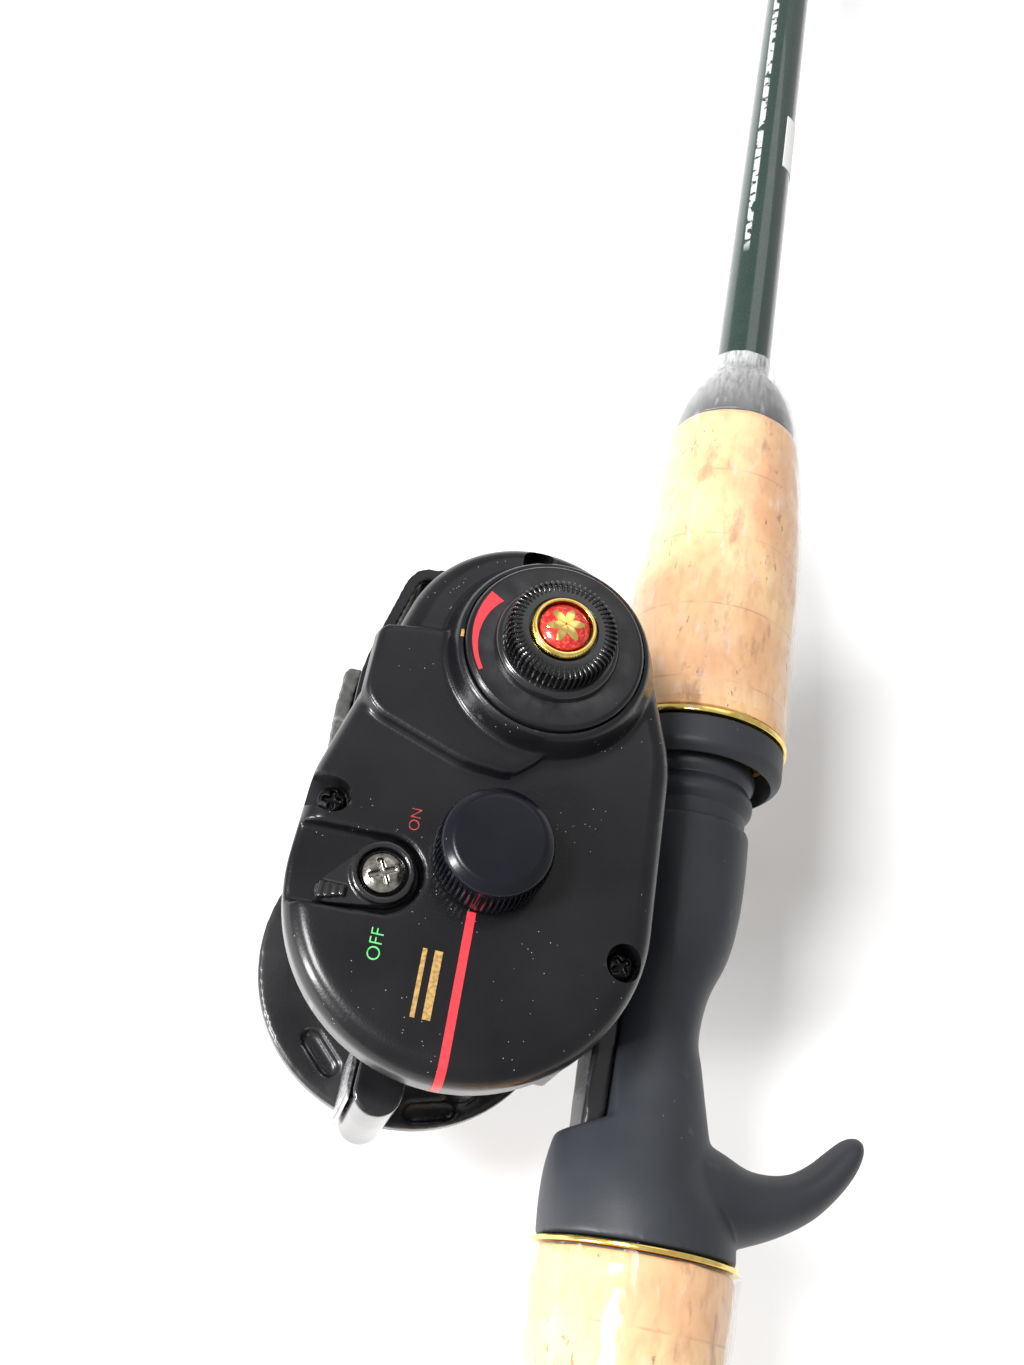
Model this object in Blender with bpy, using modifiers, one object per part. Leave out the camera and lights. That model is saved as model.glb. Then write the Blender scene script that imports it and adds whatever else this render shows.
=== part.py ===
"""Short casting rod for ice fishing, with a low-profile reel clamped in its trigger seat.

The rod lies along +Y with its tip at +Y.  The reel stands on the -X side, the trigger hangs on the
+X side, and +Z is the flat side plate.  The origin is on the rod's axis at the rear of the seat.
Sizes below are millimetres, made metres when a shape is placed.
"""
from math import atan2, cos, hypot, pi, radians, sin

import bmesh
import bpy
from mathutils import Vector

MM = 0.001
GAP = 0.3

# Driving dimensions of the rod
BUTT_END = -139.0
GRIP_REAR = -131.0
SEAT_FRONT = 80.0
THREAD_START = 59.7
HOOD_REAR = 67.8
HOOD_FRONT = 73.2
CORK_REAR = 74.7
CORK_FRONT = 130.8
CHECK_FRONT = 144.0
TIP = 757.0
BLANK_REAR = 62.0
BLANK_REAR_R = 5.2
BLANK_TIP_R = 1.1
GRIP_R = 13.3
CORE_R = 5.0

# Driving dimensions of the reel
SPOOL_AT = (-31.4, 39.1)
SPOOL_R = 16.6
FRAME_HALF = 17.9
RING_T = 3.3
PLATE_INNER = 18.2
PLATE_OUTER = 28.0
FAR_OUTER = 30.0
DIAL_AT = (-28.4, 67.8)
FLIP_AT = (-43.9, 34.5)
CRANK_AT = (-28.5, 52.6)
CRANK_LENGTH = 45.0
MODULE = 2 * hypot(SPOOL_AT[0] - CRANK_AT[0], SPOOL_AT[1] - CRANK_AT[1]) / 48
MAIN_TEETH = 40
PINION_TEETH = 8
WORM_TEETH = 13
FOOT_TOP = -10.3
FOOT_UNDER = -7.3
FOOT_REAR = 11.0
FOOT_FRONT = 73.0
SCREW_SPOTS = {"plate_screw_1": (-52.0, 43.0), "plate_screw_2": (-12.6, 30.0),
               "plate_screw_3": (-31.9, 82.2)}

# The plate's outline wraps four circles: rear end, belly, upper shoulder and front end
PLATE_CIRCLES = [((-32.4, 34.4), 23.2), ((-28.0, 55.0), 18.4), ((-40.0, 44.0), 15.2),
                 ((-31.1, 68.0), 17.3)]
FAR_CIRCLES = [((-34.8, 34.6), 22.9)] + PLATE_CIRCLES[1:]
RING_INSET = 3.4
LIP = 2.8
FAR_SLOPE = 0.6
WORM_ANGLE = radians(122.3)
WORM_REACH = MODULE * (MAIN_TEETH + WORM_TEETH) / 2
WORM_AT = (CRANK_AT[0] + WORM_REACH * cos(WORM_ANGLE), CRANK_AT[1] + WORM_REACH * sin(WORM_ANGLE))
ROD_AT = (WORM_AT[0] + 1.0, WORM_AT[1] + 8.5)

for old in list(bpy.data.objects):
    bpy.data.objects.remove(old, do_unlink=True)

PARTS = bpy.data.collections.new("ice_fishing_rod")
CUTTERS = bpy.data.collections.new("cutters")
bpy.context.scene.collection.children.link(PARTS)
bpy.context.scene.collection.children.link(CUTTERS)


def material(name, colour, roughness, metallic=0.0, alpha=1.0):
    made = bpy.data.materials.new(name)
    made.use_nodes = True
    shader = made.node_tree.nodes["Principled BSDF"]
    shader.inputs["Base Color"].default_value = (*colour, 1.0)
    shader.inputs["Roughness"].default_value = roughness
    shader.inputs["Metallic"].default_value = metallic
    shader.inputs["Alpha"].default_value = alpha
    made.diffuse_color = (*colour, alpha)
    return made


BLANK = material("green_gloss", (0.012, 0.03, 0.022), 0.12)
CORK = material("cork", (0.62, 0.37, 0.2), 0.75)
FILM = material("clear_film", (0.95, 0.95, 0.95), 0.1, alpha=0.25)
SEAT = material("seat_black", (0.035, 0.037, 0.042), 0.45)
REEL = material("reel_black", (0.022, 0.022, 0.024), 0.42)
GLOSS = material("gloss_black", (0.01, 0.01, 0.011), 0.18)
RUBBER = material("rubber_black", (0.025, 0.025, 0.026), 0.8)
GOLD = material("gold", (0.83, 0.6, 0.22), 0.22, 1.0)
STEEL = material("steel", (0.6, 0.6, 0.62), 0.25, 1.0)
BRASS = material("brass", (0.7, 0.5, 0.2), 0.3, 1.0)
CERAMIC = material("ceramic", (0.05, 0.05, 0.055), 0.15)
ENAMEL = material("red_enamel", (0.5, 0.01, 0.01), 0.08)
ALLOY = material("alloy", (0.5, 0.5, 0.52), 0.3, 1.0)
THREAD = material("winding_thread", (0.01, 0.04, 0.03), 0.2)
WASHER = material("drag_fibre", (0.1, 0.09, 0.08), 0.7)


def add(name, mesh, skin, at=(0, 0, 0), turn=(0, 0, 0)):
    """Place a mesh as a named part, or as a cutter when it has no material."""
    made = bpy.data.objects.new(name, mesh)
    made.location = Vector(at) * MM
    made.rotation_euler = turn
    if skin is None:
        CUTTERS.objects.link(made)
        made.hide_render = True
        made.display_type = "WIRE"
    else:
        PARTS.objects.link(made)
        mesh.materials.append(skin)
    return made


def turned(name, profile, skin, at=(0, 0, 0), axis="Z", bored=False, steps=18):
    """A turned piece: (radius, height) points down the outer side, then up the bore when bored."""
    mesh = bpy.data.meshes.new(name)
    links = [(i, i + 1) for i in range(len(profile) - 1)]
    if bored:
        links.append((len(profile) - 1, 0))
    mesh.from_pydata([(r * MM, 0, h * MM) for r, h in profile], links, [])
    made = add(name, mesh, skin, at, (-pi / 2, 0, 0) if axis == "Y" else (0, 0, 0))
    screw = made.modifiers.new("turn", "SCREW")
    screw.steps = steps
    screw.render_steps = steps
    screw.use_merge_vertices = True
    screw.merge_threshold = 0.000001
    screw.use_smooth_shade = False
    return made


def sleeve(name, outer, inner, skin, at=(0, 0, 0), axis="Z", steps=18):
    """A bored turned piece from its outer side, top to bottom, and its bore, bottom to top."""
    return turned(name, outer + inner, skin, at, axis, True, steps)


def ring_between(name, radius, bore, low, high, skin, at=(0, 0, 0), axis="Z", steps=18):
    return sleeve(name, [(radius, high), (radius, low)], [(bore, low), (bore, high)], skin, at, axis, steps)


def disc(name, radius, low, high, skin=None, at=(0, 0, 0), axis="Z", steps=18):
    return turned(name, [(0, high), (radius, high), (radius, low), (0, low)], skin, at, axis, False, steps)


def wrap(circles, inset=0.0, count=48):
    """The band around a set of circles: its furthest point in each direction."""
    shape = []
    for i in range(count):
        way = 2 * pi * i / count
        best = max(circles, key=lambda c: c[0][0] * cos(way) + c[0][1] * sin(way) + c[1])
        (x, y), radius = best
        shape.append((x + (radius - inset) * cos(way), y + (radius - inset) * sin(way)))
    return shape


def stack(name, layers, skin=None, at=(0, 0, 0), turn=(0, 0, 0)):
    """A closed loft through layers of equal point count, each a list of 3D points."""
    form = bmesh.new()
    rows = [[form.verts.new(Vector(p) * MM) for p in layer] for layer in layers]
    for low, high in zip(rows, rows[1:]):
        for i in range(len(low)):
            j = (i + 1) % len(low)
            form.faces.new((low[i], low[j], high[j], high[i]))
    form.faces.new(list(reversed(rows[0])))
    form.faces.new(rows[-1])
    bmesh.ops.recalc_face_normals(form, faces=form.faces)
    mesh = bpy.data.meshes.new(name)
    form.to_mesh(mesh)
    form.free()
    return add(name, mesh, skin, at, turn)


def slab(name, shape, low, high, skin=None, at=(0, 0, 0), turn=(0, 0, 0)):
    layers = [[(x, y, z) for x, y in shape] for z in (low, high)]
    return stack(name, layers, skin, at, turn)


def block(name, low, high, skin=None, round_edge=0.0):
    """A box between two corners, its edges rounded when asked."""
    form = bmesh.new()
    bmesh.ops.create_cube(form, size=1.0)
    middle = [(a + b) / 2 for a, b in zip(low, high)]
    bmesh.ops.scale(form, vec=[(b - a) * MM for a, b in zip(low, high)], verts=form.verts)
    mesh = bpy.data.meshes.new(name)
    form.to_mesh(mesh)
    form.free()
    made = add(name, mesh, skin, middle)
    if round_edge:
        bevel(made, round_edge)
    return made


def bevel(made, width, segments=2, angle=40):
    rounding = made.modifiers.new("edge", "BEVEL")
    rounding.width = width * MM
    rounding.segments = segments
    rounding.limit_method = "ANGLE"
    rounding.angle_limit = radians(angle)
    rounding.use_clamp_overlap = True


def cut(made, *cutters):
    for tool in cutters:
        step = made.modifiers.new("cut", "BOOLEAN")
        step.operation = "DIFFERENCE"
        step.solver = "EXACT"
        step.object = tool


def join(made, *extras):
    for tool in extras:
        step = made.modifiers.new("join", "BOOLEAN")
        step.operation = "UNION"
        step.solver = "EXACT"
        step.object = tool


def relative(shape, at):
    return [(x - at[0], y - at[1]) for x, y in shape]


def toothed(teeth, root, tip, phase=0.0, share=0.22):
    """A gear's outline: each tooth takes a share of its pitch at the root and less at the tip."""
    shape = []
    for i in range(teeth):
        middle = phase + 2 * pi * i / teeth
        pitch = 2 * pi / teeth
        flanks = ((-share * 1.45, root), (-share * 0.6, tip), (share * 0.6, tip), (share * 1.45, root))
        for offset, radius in flanks:
            shape.append((radius * cos(middle + offset * pitch), radius * sin(middle + offset * pitch)))
    return shape


def knurled(teeth, low, high):
    """An outline of plain V teeth, or of a star's points."""
    return [((high, low)[i % 2] * cos(pi * i / teeth), (high, low)[i % 2] * sin(pi * i / teeth))
            for i in range(2 * teeth)]


def tube(name, points, radius, skin=None, at=(0, 0, 0), smooth=True):
    """A round wire along points, made a mesh so that it can be cut and joined."""
    curve = bpy.data.curves.new(name, "CURVE")
    curve.dimensions = "3D"
    curve.bevel_depth = radius * MM
    curve.bevel_resolution = 2
    curve.use_fill_caps = True
    curve.resolution_u = 4
    curve.render_resolution_u = 0
    spline = curve.splines.new("POLY")
    spline.points.add(len(points) - 1)
    for spot, place in zip(spline.points, points):
        spot.co = (*(Vector(place) * MM), 1.0)
    holder = bpy.data.objects.new(name + "_path", curve)
    bpy.context.scene.collection.objects.link(holder)
    seen = holder.evaluated_get(bpy.context.evaluated_depsgraph_get())
    mesh = bpy.data.meshes.new_from_object(seen)
    bpy.data.objects.remove(holder, do_unlink=True)
    form = bmesh.new()
    form.from_mesh(mesh)
    bmesh.ops.remove_doubles(form, verts=form.verts, dist=0.000001)
    bmesh.ops.recalc_face_normals(form, faces=form.faces)
    form.to_mesh(mesh)
    form.free()
    mesh.materials.clear()
    return add(name, mesh, skin, at)


def arc_points(start, middle, end, count=9):
    """Points on a quadratic bend from start to end, pulled towards middle."""
    a, b, c = Vector(start), Vector(middle), Vector(end)
    steps = [i / (count - 1) for i in range(count)]
    return [a * (1 - t) ** 2 + b * 2 * t * (1 - t) + c * t * t for t in steps]


def blank_radius(y):
    """The blank tapers evenly from its seated end to its tip."""
    return BLANK_REAR_R + (BLANK_TIP_R - BLANK_REAR_R) * (y - BLANK_REAR) / (TIP - 2 - BLANK_REAR)


# ---------------------------------------------------------------- rod
def make_blank():
    stations = [TIP - 2, 640, 520, 400, 280, 146, BLANK_REAR]
    profile = [(0, TIP - 2)] + [(blank_radius(y), y) for y in stations] + [(0, BLANK_REAR)]
    turned("rod_blank", profile, BLANK, axis="Y", steps=16)


def make_rear_grip():
    ring_between("rear_core", CORE_R, CORE_R - 1.4, GRIP_REAR + 2, 9.0, ALLOY, axis="Y")
    side = [(GRIP_R + 0.1, -1.1), (GRIP_R - 0.3, -20), (GRIP_R - 0.1, -60), (GRIP_R + 0.7, -105),
            (GRIP_R + 0.4, GRIP_REAR)]
    bore = [(CORE_R + GAP, GRIP_REAR), (CORE_R + GAP, -1.1)]
    sleeve("rear_grip", side, bore, CORK, axis="Y", steps=24)
    skin_side = [(r + 2 * GAP, y + (0.0 if y > -130 else 3.0)) for r, y in side]
    skin_bore = [(r - GAP, y) for r, y in reversed(skin_side)]
    sleeve("rear_grip_film", skin_side, skin_bore, FILM, axis="Y", steps=24)
    ring_between("rear_trim_ring", GRIP_R + 0.5, CORE_R + GAP, -0.8, -0.1, GOLD, axis="Y", steps=24)
    cap = [(0, GRIP_REAR - GAP), (GRIP_R + 1.2, GRIP_REAR - GAP), (GRIP_R + 1.5, GRIP_REAR - 2.0),
           (GRIP_R + 1.3, BUTT_END + 2.2), (GRIP_R - 0.2, BUTT_END), (0, BUTT_END)]
    turned("butt_cap", cap, RUBBER, axis="Y", steps=24)


def seat_section(y, left, right, depth, power=2.0, count=20):
    """One cross-section of the seat: a rounded form from left to right in X and +-depth in Z."""
    middle = (left + right) / 2
    half = (right - left) / 2
    layer = []
    for i in range(count):
        way = 2 * pi * i / count
        bulge = (abs(cos(way)) ** power + abs(sin(way)) ** power) ** (-1 / power)
        layer.append((middle + half * bulge * cos(way), y, depth * bulge * sin(way)))
    return layer


def make_trigger():
    """The trigger sweeps out and curls towards the tip, thinning as it goes."""
    stations = [((6.0, 8.6), 0, 7.6, 8.4), ((10.0, 8.2), 0, 6.6, 7.6), ((14.2, 8.4), 8, 5.0, 6.6),
                ((18.2, 9.4), 18, 4.0, 5.8), ((21.9, 11.2), 31, 3.3, 5.2), ((24.9, 13.8), 43, 2.8, 4.7),
                ((27.2, 16.6), 53, 2.3, 4.2), ((28.5, 18.6), 58, 1.6, 3.3), ((29.0, 19.5), 58, 0.7, 1.8)]
    layers = []
    for (x, y), lean, half, depth in stations:
        side = radians(lean + 90)
        layer = []
        for i in range(14):
            way = 2 * pi * i / 14
            across = half * cos(way)
            layer.append((x + across * cos(side), y + across * sin(side), depth * sin(way)))
        layers.append(layer)
    return stack("trigger_form", layers)


def foot_shape(grow=0.0):
    """The reel foot's plan in Y and Z: broad in the middle, narrow at its two ends."""
    return wrap([((FOOT_REAR + 4.6, 0), 4.6 + grow), ((FOOT_FRONT - 4.6, 0), 4.6 + grow),
                 ((34.0, 0), 6.2 + grow), ((50.0, 0), 6.2 + grow)], count=40)


def foot_layers(shape, low, high):
    return [[(x, y, z) for y, z in shape] for x in (low, high)]


def make_seat():
    sections = [seat_section(0.2, -GRIP_R, GRIP_R, GRIP_R), seat_section(5.0, -13.6, 12.6, 12.8),
                seat_section(10.0, -13.4, 9.6, 11.4), seat_section(15.5, -12.2, 8.2, 9.8),
                seat_section(20.0, -10.6, 7.2, 8.4), seat_section(25.0, -9.0, 6.1, 7.4),
                seat_section(29.0, -8.2, 5.2, 7.0), seat_section(35.0, -8.0, 5.9, 7.4),
                seat_section(41.0, -8.2, 8.1, 8.5), seat_section(47.0, -8.8, 9.1, 9.2),
                seat_section(54.0, -9.4, 9.4, 9.5), seat_section(THREAD_START, -9.5, 9.3, 9.5)]
    seat = stack("seat_body", sections, SEAT)
    ridge = 4.0
    threads = [(0, SEAT_FRONT), (8.5, SEAT_FRONT)]
    step = THREAD_START + 2.6 * ridge
    while step > THREAD_START + ridge:
        threads += [(8.6, step), (9.4, step - 1.4), (9.4, step - 2.4), (8.6, step - 3.6)]
        step -= ridge
    threads += [(8.5, step), (8.5, THREAD_START - 1), (0, THREAD_START - 1)]
    barrel = turned("barrel_form", threads, None, axis="Y", steps=24)
    join(seat, barrel, make_trigger())
    outer = [(-30, y, z) for y, z in ((6.5, -20), (90, -20), (90, 20), (6.5, 20))]
    inner = [(FOOT_UNDER + GAP, y, z) for y, z in ((15.6, -20), (90, -20), (90, 20), (15.6, 20))]
    mouth = stack("mouth_cut", [outer, inner])
    pocket = stack("pocket_cut", foot_layers(foot_shape(GAP), FOOT_TOP - GAP, FOOT_UNDER + GAP))
    front_bore = disc("front_bore_cut", BLANK_REAR_R + GAP, BLANK_REAR - GAP, SEAT_FRONT + 5, axis="Y")
    rear_bore = disc("rear_bore_cut", CORE_R + GAP, -5, 9.0 + GAP, axis="Y")
    cut(seat, mouth, pocket, front_bore, rear_bore)


def make_fore_grip():
    hood = [(GRIP_R, HOOD_FRONT), (GRIP_R, HOOD_REAR + 2.4), (GRIP_R - 0.5, HOOD_REAR + 0.9),
            (GRIP_R - 1.3, HOOD_REAR)]
    sleeve("fore_hood", hood, [(11.8, HOOD_REAR), (11.8, HOOD_FRONT)], SEAT, axis="Y", steps=24)
    ring_between("fore_trim_ring", GRIP_R + 0.4, 9.9, HOOD_FRONT + GAP, CORK_REAR - GAP, GOLD, axis="Y",
                 steps=24)
    side = [(10.7, CORK_FRONT), (11.9, 120), (12.8, 107), (13.1, 92), (GRIP_R, CORK_REAR)]
    bore = [(9.8, CORK_REAR), (9.8, SEAT_FRONT + 1), (BLANK_REAR_R + 0.4, SEAT_FRONT + 3),
            (BLANK_REAR_R + 0.1, CORK_FRONT)]
    sleeve("fore_grip", side, bore, CORK, axis="Y", steps=24)
    check = [(5.5, CHECK_FRONT), (6.9, 141.8), (8.6, 138.4), (9.8, 134.4), (10.2, CORK_FRONT + GAP)]
    hole = blank_radius(CORK_FRONT) + GAP
    through = [(hole, CORK_FRONT + GAP), (hole, CHECK_FRONT)]
    sleeve("winding_check", check, through, RUBBER, axis="Y", steps=24)
    over = [check[0], check[2], check[3], side[0], side[2]]
    skin_side = [(5.5, CHECK_FRONT + 3.0)] + [(r + 2 * GAP, y + 0.4) for r, y in over]
    skin_side.append((GRIP_R + 2 * GAP + 0.1, CORK_REAR + 1.0))
    skin_bore = [(r - GAP, y) for r, y in reversed(skin_side)]
    sleeve("fore_grip_film", skin_side, skin_bore, FILM, axis="Y", steps=24)


def make_guide(number, y, ring_r):
    """A wire guide: two legs lashed to the blank carry a ring that stands clear on the reel's side."""
    wire = 0.75
    deck = -(blank_radius(y) + GAP + wire)
    centre = deck - ring_r - 5.0
    holder_r = ring_r + 1.7
    holder = [(holder_r + 0.8 * cos(a), 0.8 * sin(a)) for a in [-2 * pi * i / 8 for i in range(6)]]
    frame = turned(f"guide_frame_{number}", holder, STEEL, at=(centre, y, 0), axis="Y", bored=True, steps=16)
    root = centre + holder_r
    rise = arc_points((deck, y + 12, 0), (deck, y + 6, 0), (root, y, 0), 4)
    front = [(deck, y + 24, 0), (deck, y + 14, 0)] + rise
    back = [(p[0], 2 * y - p[1], 0) for p in front]
    legs = [tube(f"guide_{number}_{end}", [(p[0] - centre, p[2], -(p[1] - y)) for p in side], wire)
            for end, side in (("front", front), ("back", back))]
    for leg in legs:
        leg.location = frame.location
        leg.rotation_euler = (pi / 2, 0, 0)
    join(frame, *legs)
    ring_between(f"guide_ring_{number}", ring_r + 0.6, ring_r, -0.9, 0.9, CERAMIC, (centre, y, 0), "Y", 18)
    for end, way in (("a", 1), ("b", -1)):
        make_wrap(number, end, y + way * 19.0, deck, wire)


def make_wrap(number, end, y, deck, wire):
    """A thread lashing: one sleeve round the blank and the guide's foot together."""
    reach = blank_radius(y - 6)
    inner = wrap([((0, 0), reach + GAP), ((deck, 0), wire + GAP)], count=20)
    outer = wrap([((0, 0), reach + GAP + 0.5), ((deck, 0), wire + GAP + 0.4)], count=20)
    lashing = slab(f"guide_wrap_{number}{end}", outer, -6.5, 6.5, THREAD, at=(0, y, 0), turn=(-pi / 2, 0, 0))
    cut(lashing, slab(f"wrap_bore_{number}{end}", inner, -8, 8, at=(0, y, 0), turn=(-pi / 2, 0, 0)))


def make_tip():
    ring_r = 3.1
    tube_r = BLANK_TIP_R + GAP + 0.6
    centre = -(ring_r + 1.7 + 1.3)
    seat_y = TIP - 0.4
    socket = [(0, TIP), (tube_r - 0.4, TIP), (tube_r, TIP - 0.6), (tube_r, TIP - 14),
              (BLANK_TIP_R + GAP + 0.1, TIP - 14), (BLANK_TIP_R + GAP, TIP - 2 + GAP), (0, TIP - 2 + GAP)]
    top = turned("tip_top", socket, STEEL, axis="Y", steps=18)
    holder = [(ring_r + 1.7 + 0.8 * cos(a), 0.8 * sin(a)) for a in [-2 * pi * i / 6 for i in range(6)]]
    loop = turned("tip_loop", holder, None, at=(centre, seat_y, 0), axis="Y", bored=True, steps=23)
    braces = []
    for way in (-1, 1):
        ends = [(-tube_r - 0.2, TIP - 11, 0.1 * way), (centre + 1.2, seat_y - 0.3, way * (ring_r + 1.5))]
        braces.append(tube("tip_brace", ends, 0.55))
    join(top, loop, *braces)
    ring_between("tip_ring", ring_r + 0.6, ring_r, -0.9, 0.9, CERAMIC, (centre, seat_y, 0), "Y", 18)


# ---------------------------------------------------------------- reel
def make_frame():
    frame = slab("reel_frame", wrap(PLATE_CIRCLES, RING_INSET), FRAME_HALF - RING_T, FRAME_HALF, REEL)
    far = slab("far_ring_form", wrap(FAR_CIRCLES), -FRAME_HALF, -(FRAME_HALF - RING_T))
    ears = [disc("ear_form", 2.7, FRAME_HALF - RING_T, FRAME_HALF, at=(*spot, 0), steps=16)
            for spot in SCREW_SPOTS.values()]
    bar = block("saddle_form", (-17.6, 22, -(FRAME_HALF - 1)), (-12.4, 62, FRAME_HALF - 1))
    neck = stack("neck_form", [[(-15, y, z) for y, z in wrap([((36, 0), 9.0), ((50, 0), 9.0)], count=32)],
                               [(-8.6, y, z) for y, z in wrap([((30, 0), 6.0), ((54, 0), 6.0)], count=32)]])
    foot = stack("foot_form", foot_layers(foot_shape(), FOOT_TOP, FOOT_UNDER))
    posts = [disc("post_form", 2.2, -(FRAME_HALF - 1), FRAME_HALF - 1, at=(x, y, 0), steps=16)
             for x, y in ((-25.0, 19.0), (-21.5, 77.5))]
    join(frame, far, bar, neck, foot, *posts, *ears)
    window = disc("spool_window_cut", SPOOL_R + 1.0, -30, 30, at=(*SPOOL_AT, 0), steps=24)
    drive = disc("drive_pass_cut", 3.0, -30, -10, at=(*CRANK_AT, 0), steps=16)
    worm = disc("worm_pass_cut", 2.0 + GAP, -30, 30, at=(*WORM_AT, 0), steps=16)
    rail = disc("rail_pass_cut", 1.2 + GAP, -30, 30, at=(*ROD_AT, 0), steps=16)
    screws = [disc("screw_pass_cut", 1.0 + GAP, 10, 30, at=(*spot, 0), steps=16)
              for spot in SCREW_SPOTS.values()]
    slots = [slab("bar_slot_cut", wrap([((-39.4, 18.8), 1.6), ((-33.8, 18.8), 1.6)], count=24), low, high)
             for low, high in ((10, 20), (-20, -10))]
    pockets = [slab("ring_pocket_cut", wrap([(a, 1.2), (b, 1.2)], count=16), -(FRAME_HALF - RING_T + 1.0), 0)
               for a, b in (((-47.4, 21.6), (-44.0, 18.2)), ((-31.0, 14.4), (-26.2, 15.6)))]
    cut(frame, window, drive, worm, rail, *screws, *slots, *pockets)


def rim_layers(circles, inner, outer, rounding):
    """A plate's layers: straight up its side wall, then in over its rounded rim."""
    steps = [(LIP, inner), (LIP, inner + LIP), (0.0, inner + LIP + 0.1), (0.0, outer - rounding)]
    for i in range(1, 4):
        turn = i * pi / 6
        steps.append((rounding * (1 - cos(turn)), outer - rounding * (1 - sin(turn))))
    return [[(x, y, z) for x, y in wrap(circles, inset)] for inset, z in steps]


def make_near_plate():
    spots = list(SCREW_SPOTS.values())
    bosses = [(SPOOL_AT, 6.6), (DIAL_AT, 5.0), (FLIP_AT, 2.6)] + [(spot, 4.0) for spot in spots]
    passes = [(SPOOL_AT, 4.5 + GAP, 0, 22.5), (SPOOL_AT, 3.6, 0, 40), (DIAL_AT, 2.0 + GAP, 0, 40),
              (FLIP_AT, 1.2 + GAP, 20, 40), (DIAL_AT, 12.2, 29.4, 40)]
    passes += [(spot, 1.0 + GAP, 0, 40) for spot in spots]
    plate = stack("side_plate_near", rim_layers(PLATE_CIRCLES, PLATE_INNER, PLATE_OUTER, 3.0), REEL)
    hollow = slab("near_hollow_cut", wrap(PLATE_CIRCLES, LIP + 1.6), PLATE_INNER - 2, PLATE_OUTER - 3)
    cut(hollow, *[disc("boss_form", radius, 10, 40, at=(*spot, 0), steps=18) for spot, radius in bosses])
    cut(plate, hollow)
    holes = [disc("near_pass_cut", radius, low, high, at=(*spot, 0)) for spot, radius, low, high in passes]
    corners = [(-51.6, 67.5), (-51.8, 57.0), (-49.6, 54.4), (-37.2, 50.0), (-30.6, 49.6), (-27.0, 53.0),
               (-24.0, 62.0), (-43.4, 68.8)]
    panel = stack("panel_form", [[(x, y, 27.0) for x, y in corners],
                                 [(x * 0.97 - 0.9, y * 0.94 + 3.8, 29.3) for x, y in corners]])
    side = [(0, 32.4), (12.3, 32.4), (13.0, 31.6), (13.8, 29.4), (14.6, 27.2), (0, 27.2)]
    dome = turned("dome_form", side, None, at=(*DIAL_AT, 0), steps=28)
    join(plate, panel, dome)
    wedge = wrap([(FLIP_AT, 5.0), ((-58.0, 30.0), 1.2), ((-58.0, 38.0), 1.2)], count=40)
    lever_pocket = slab("lever_pocket_cut", wedge, 26.0, 40)
    notches = []
    for (x, y), (dx, dy) in zip(spots, ((-4.0, 1.0), (0.0, -0.2), (0.0, 0.4))):
        plan = wrap([((x, y), 2.3), ((x + dx, y + dy), 2.3)], count=20)
        notches.append(slab("notch_cut", plan, 24.0, 40))
    cut(plate, *holes, lever_pocket, *notches)


def make_far_plate():
    """The crank side's cover narrows outwards like a shallow bowl."""
    depth = FAR_OUTER - PLATE_INNER
    steps = [(0.3, 0.0), (FAR_SLOPE * (depth - 2.2), depth - 2.2), (FAR_SLOPE * depth + 1.4, depth - 0.5),
             (FAR_SLOPE * depth + 3.0, depth)]
    outside = [[(x, y, -PLATE_INNER - z) for x, y in wrap(FAR_CIRCLES, inset)] for inset, z in steps]
    plate = stack("side_plate_far", outside, REEL)
    floor = depth - 3.5
    walls = ((2.0 - FAR_SLOPE * 2, -2.0), (2.0 + FAR_SLOPE * floor, floor))
    inside = [[(x, y, -PLATE_INNER - z) for x, y in wrap(FAR_CIRCLES, inset)] for inset, z in walls]
    hollow = stack("far_hollow_cut", inside)
    passes = [(CRANK_AT, 2.6, -40, 0), (SPOOL_AT, 1.5, -28.6, 0), (SPOOL_AT, 4.5, -28.2, 0),
              (WORM_AT, 1.5, -28.6, 0)]
    cut(plate, hollow, *[disc("far_pass_cut", radius + GAP, low, high, at=(*spot, 0), steps=16)
                         for spot, radius, low, high in passes])


def make_front_cover():
    """A bent cover that bridges the two frame rings over the line guide."""
    outer = [(-52.3, 57.0), (-52.3, 64.4), (-51.6, 68.4), (-48.9, 79.6), (-47.4, 81.5), (-43.0, 82.2)]
    inner = [(-43.0, 80.6), (-46.4, 79.8), (-47.3, 78.9), (-50.0, 68.0), (-50.6, 64.0), (-50.6, 57.0)]
    half = FRAME_HALF - RING_T - GAP
    cover = slab("front_cover", outer + inner, -half, PLATE_INNER + LIP - GAP, REEL)
    bevel(cover, 0.35, 1, 50)
    rough = [(-54.7, 59.4), (-54.6, 67.0), (-54.1, 67.9), (-52.1, 67.9), (-52.6, 64.6), (-52.6, 59.4)]
    pad = slab("thumb_pad", rough, -half + 1.5, half - 1.5, RUBBER)
    bevel(pad, 0.3, 1, 50)


def make_thumb_bar():
    """The release bar lies between the rings behind the spool and is pressed towards the rod."""
    at = (-38.4, 13.0, 0)
    half = FRAME_HALF - RING_T - 0.8
    body = wrap([((-38.2, 11.4), 3.1), ((-38.0, 16.8), 3.1)], count=28)
    bar = slab("thumb_bar", relative(body, at), -half, half, GLOSS, at=at)
    bevel(bar, 0.5, 1, 50)
    lugs = block("lug_form", (-39.8, 17.8, -(FRAME_HALF - 1.2)), (-37.4, 19.8, FRAME_HALF - 1.2))
    join(bar, lugs)
    strip = [(-42.2, 11.6), (-41.7, 9.9), (-41.6, 9.9), (-41.6, 18.4), (-41.8, 18.4), (-42.2, 17.4)]
    ribbed = slab("thumb_bar_strip", relative(strip, at), -half + 1, half - 1, STEEL, at=at)
    return bar, ribbed


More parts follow.
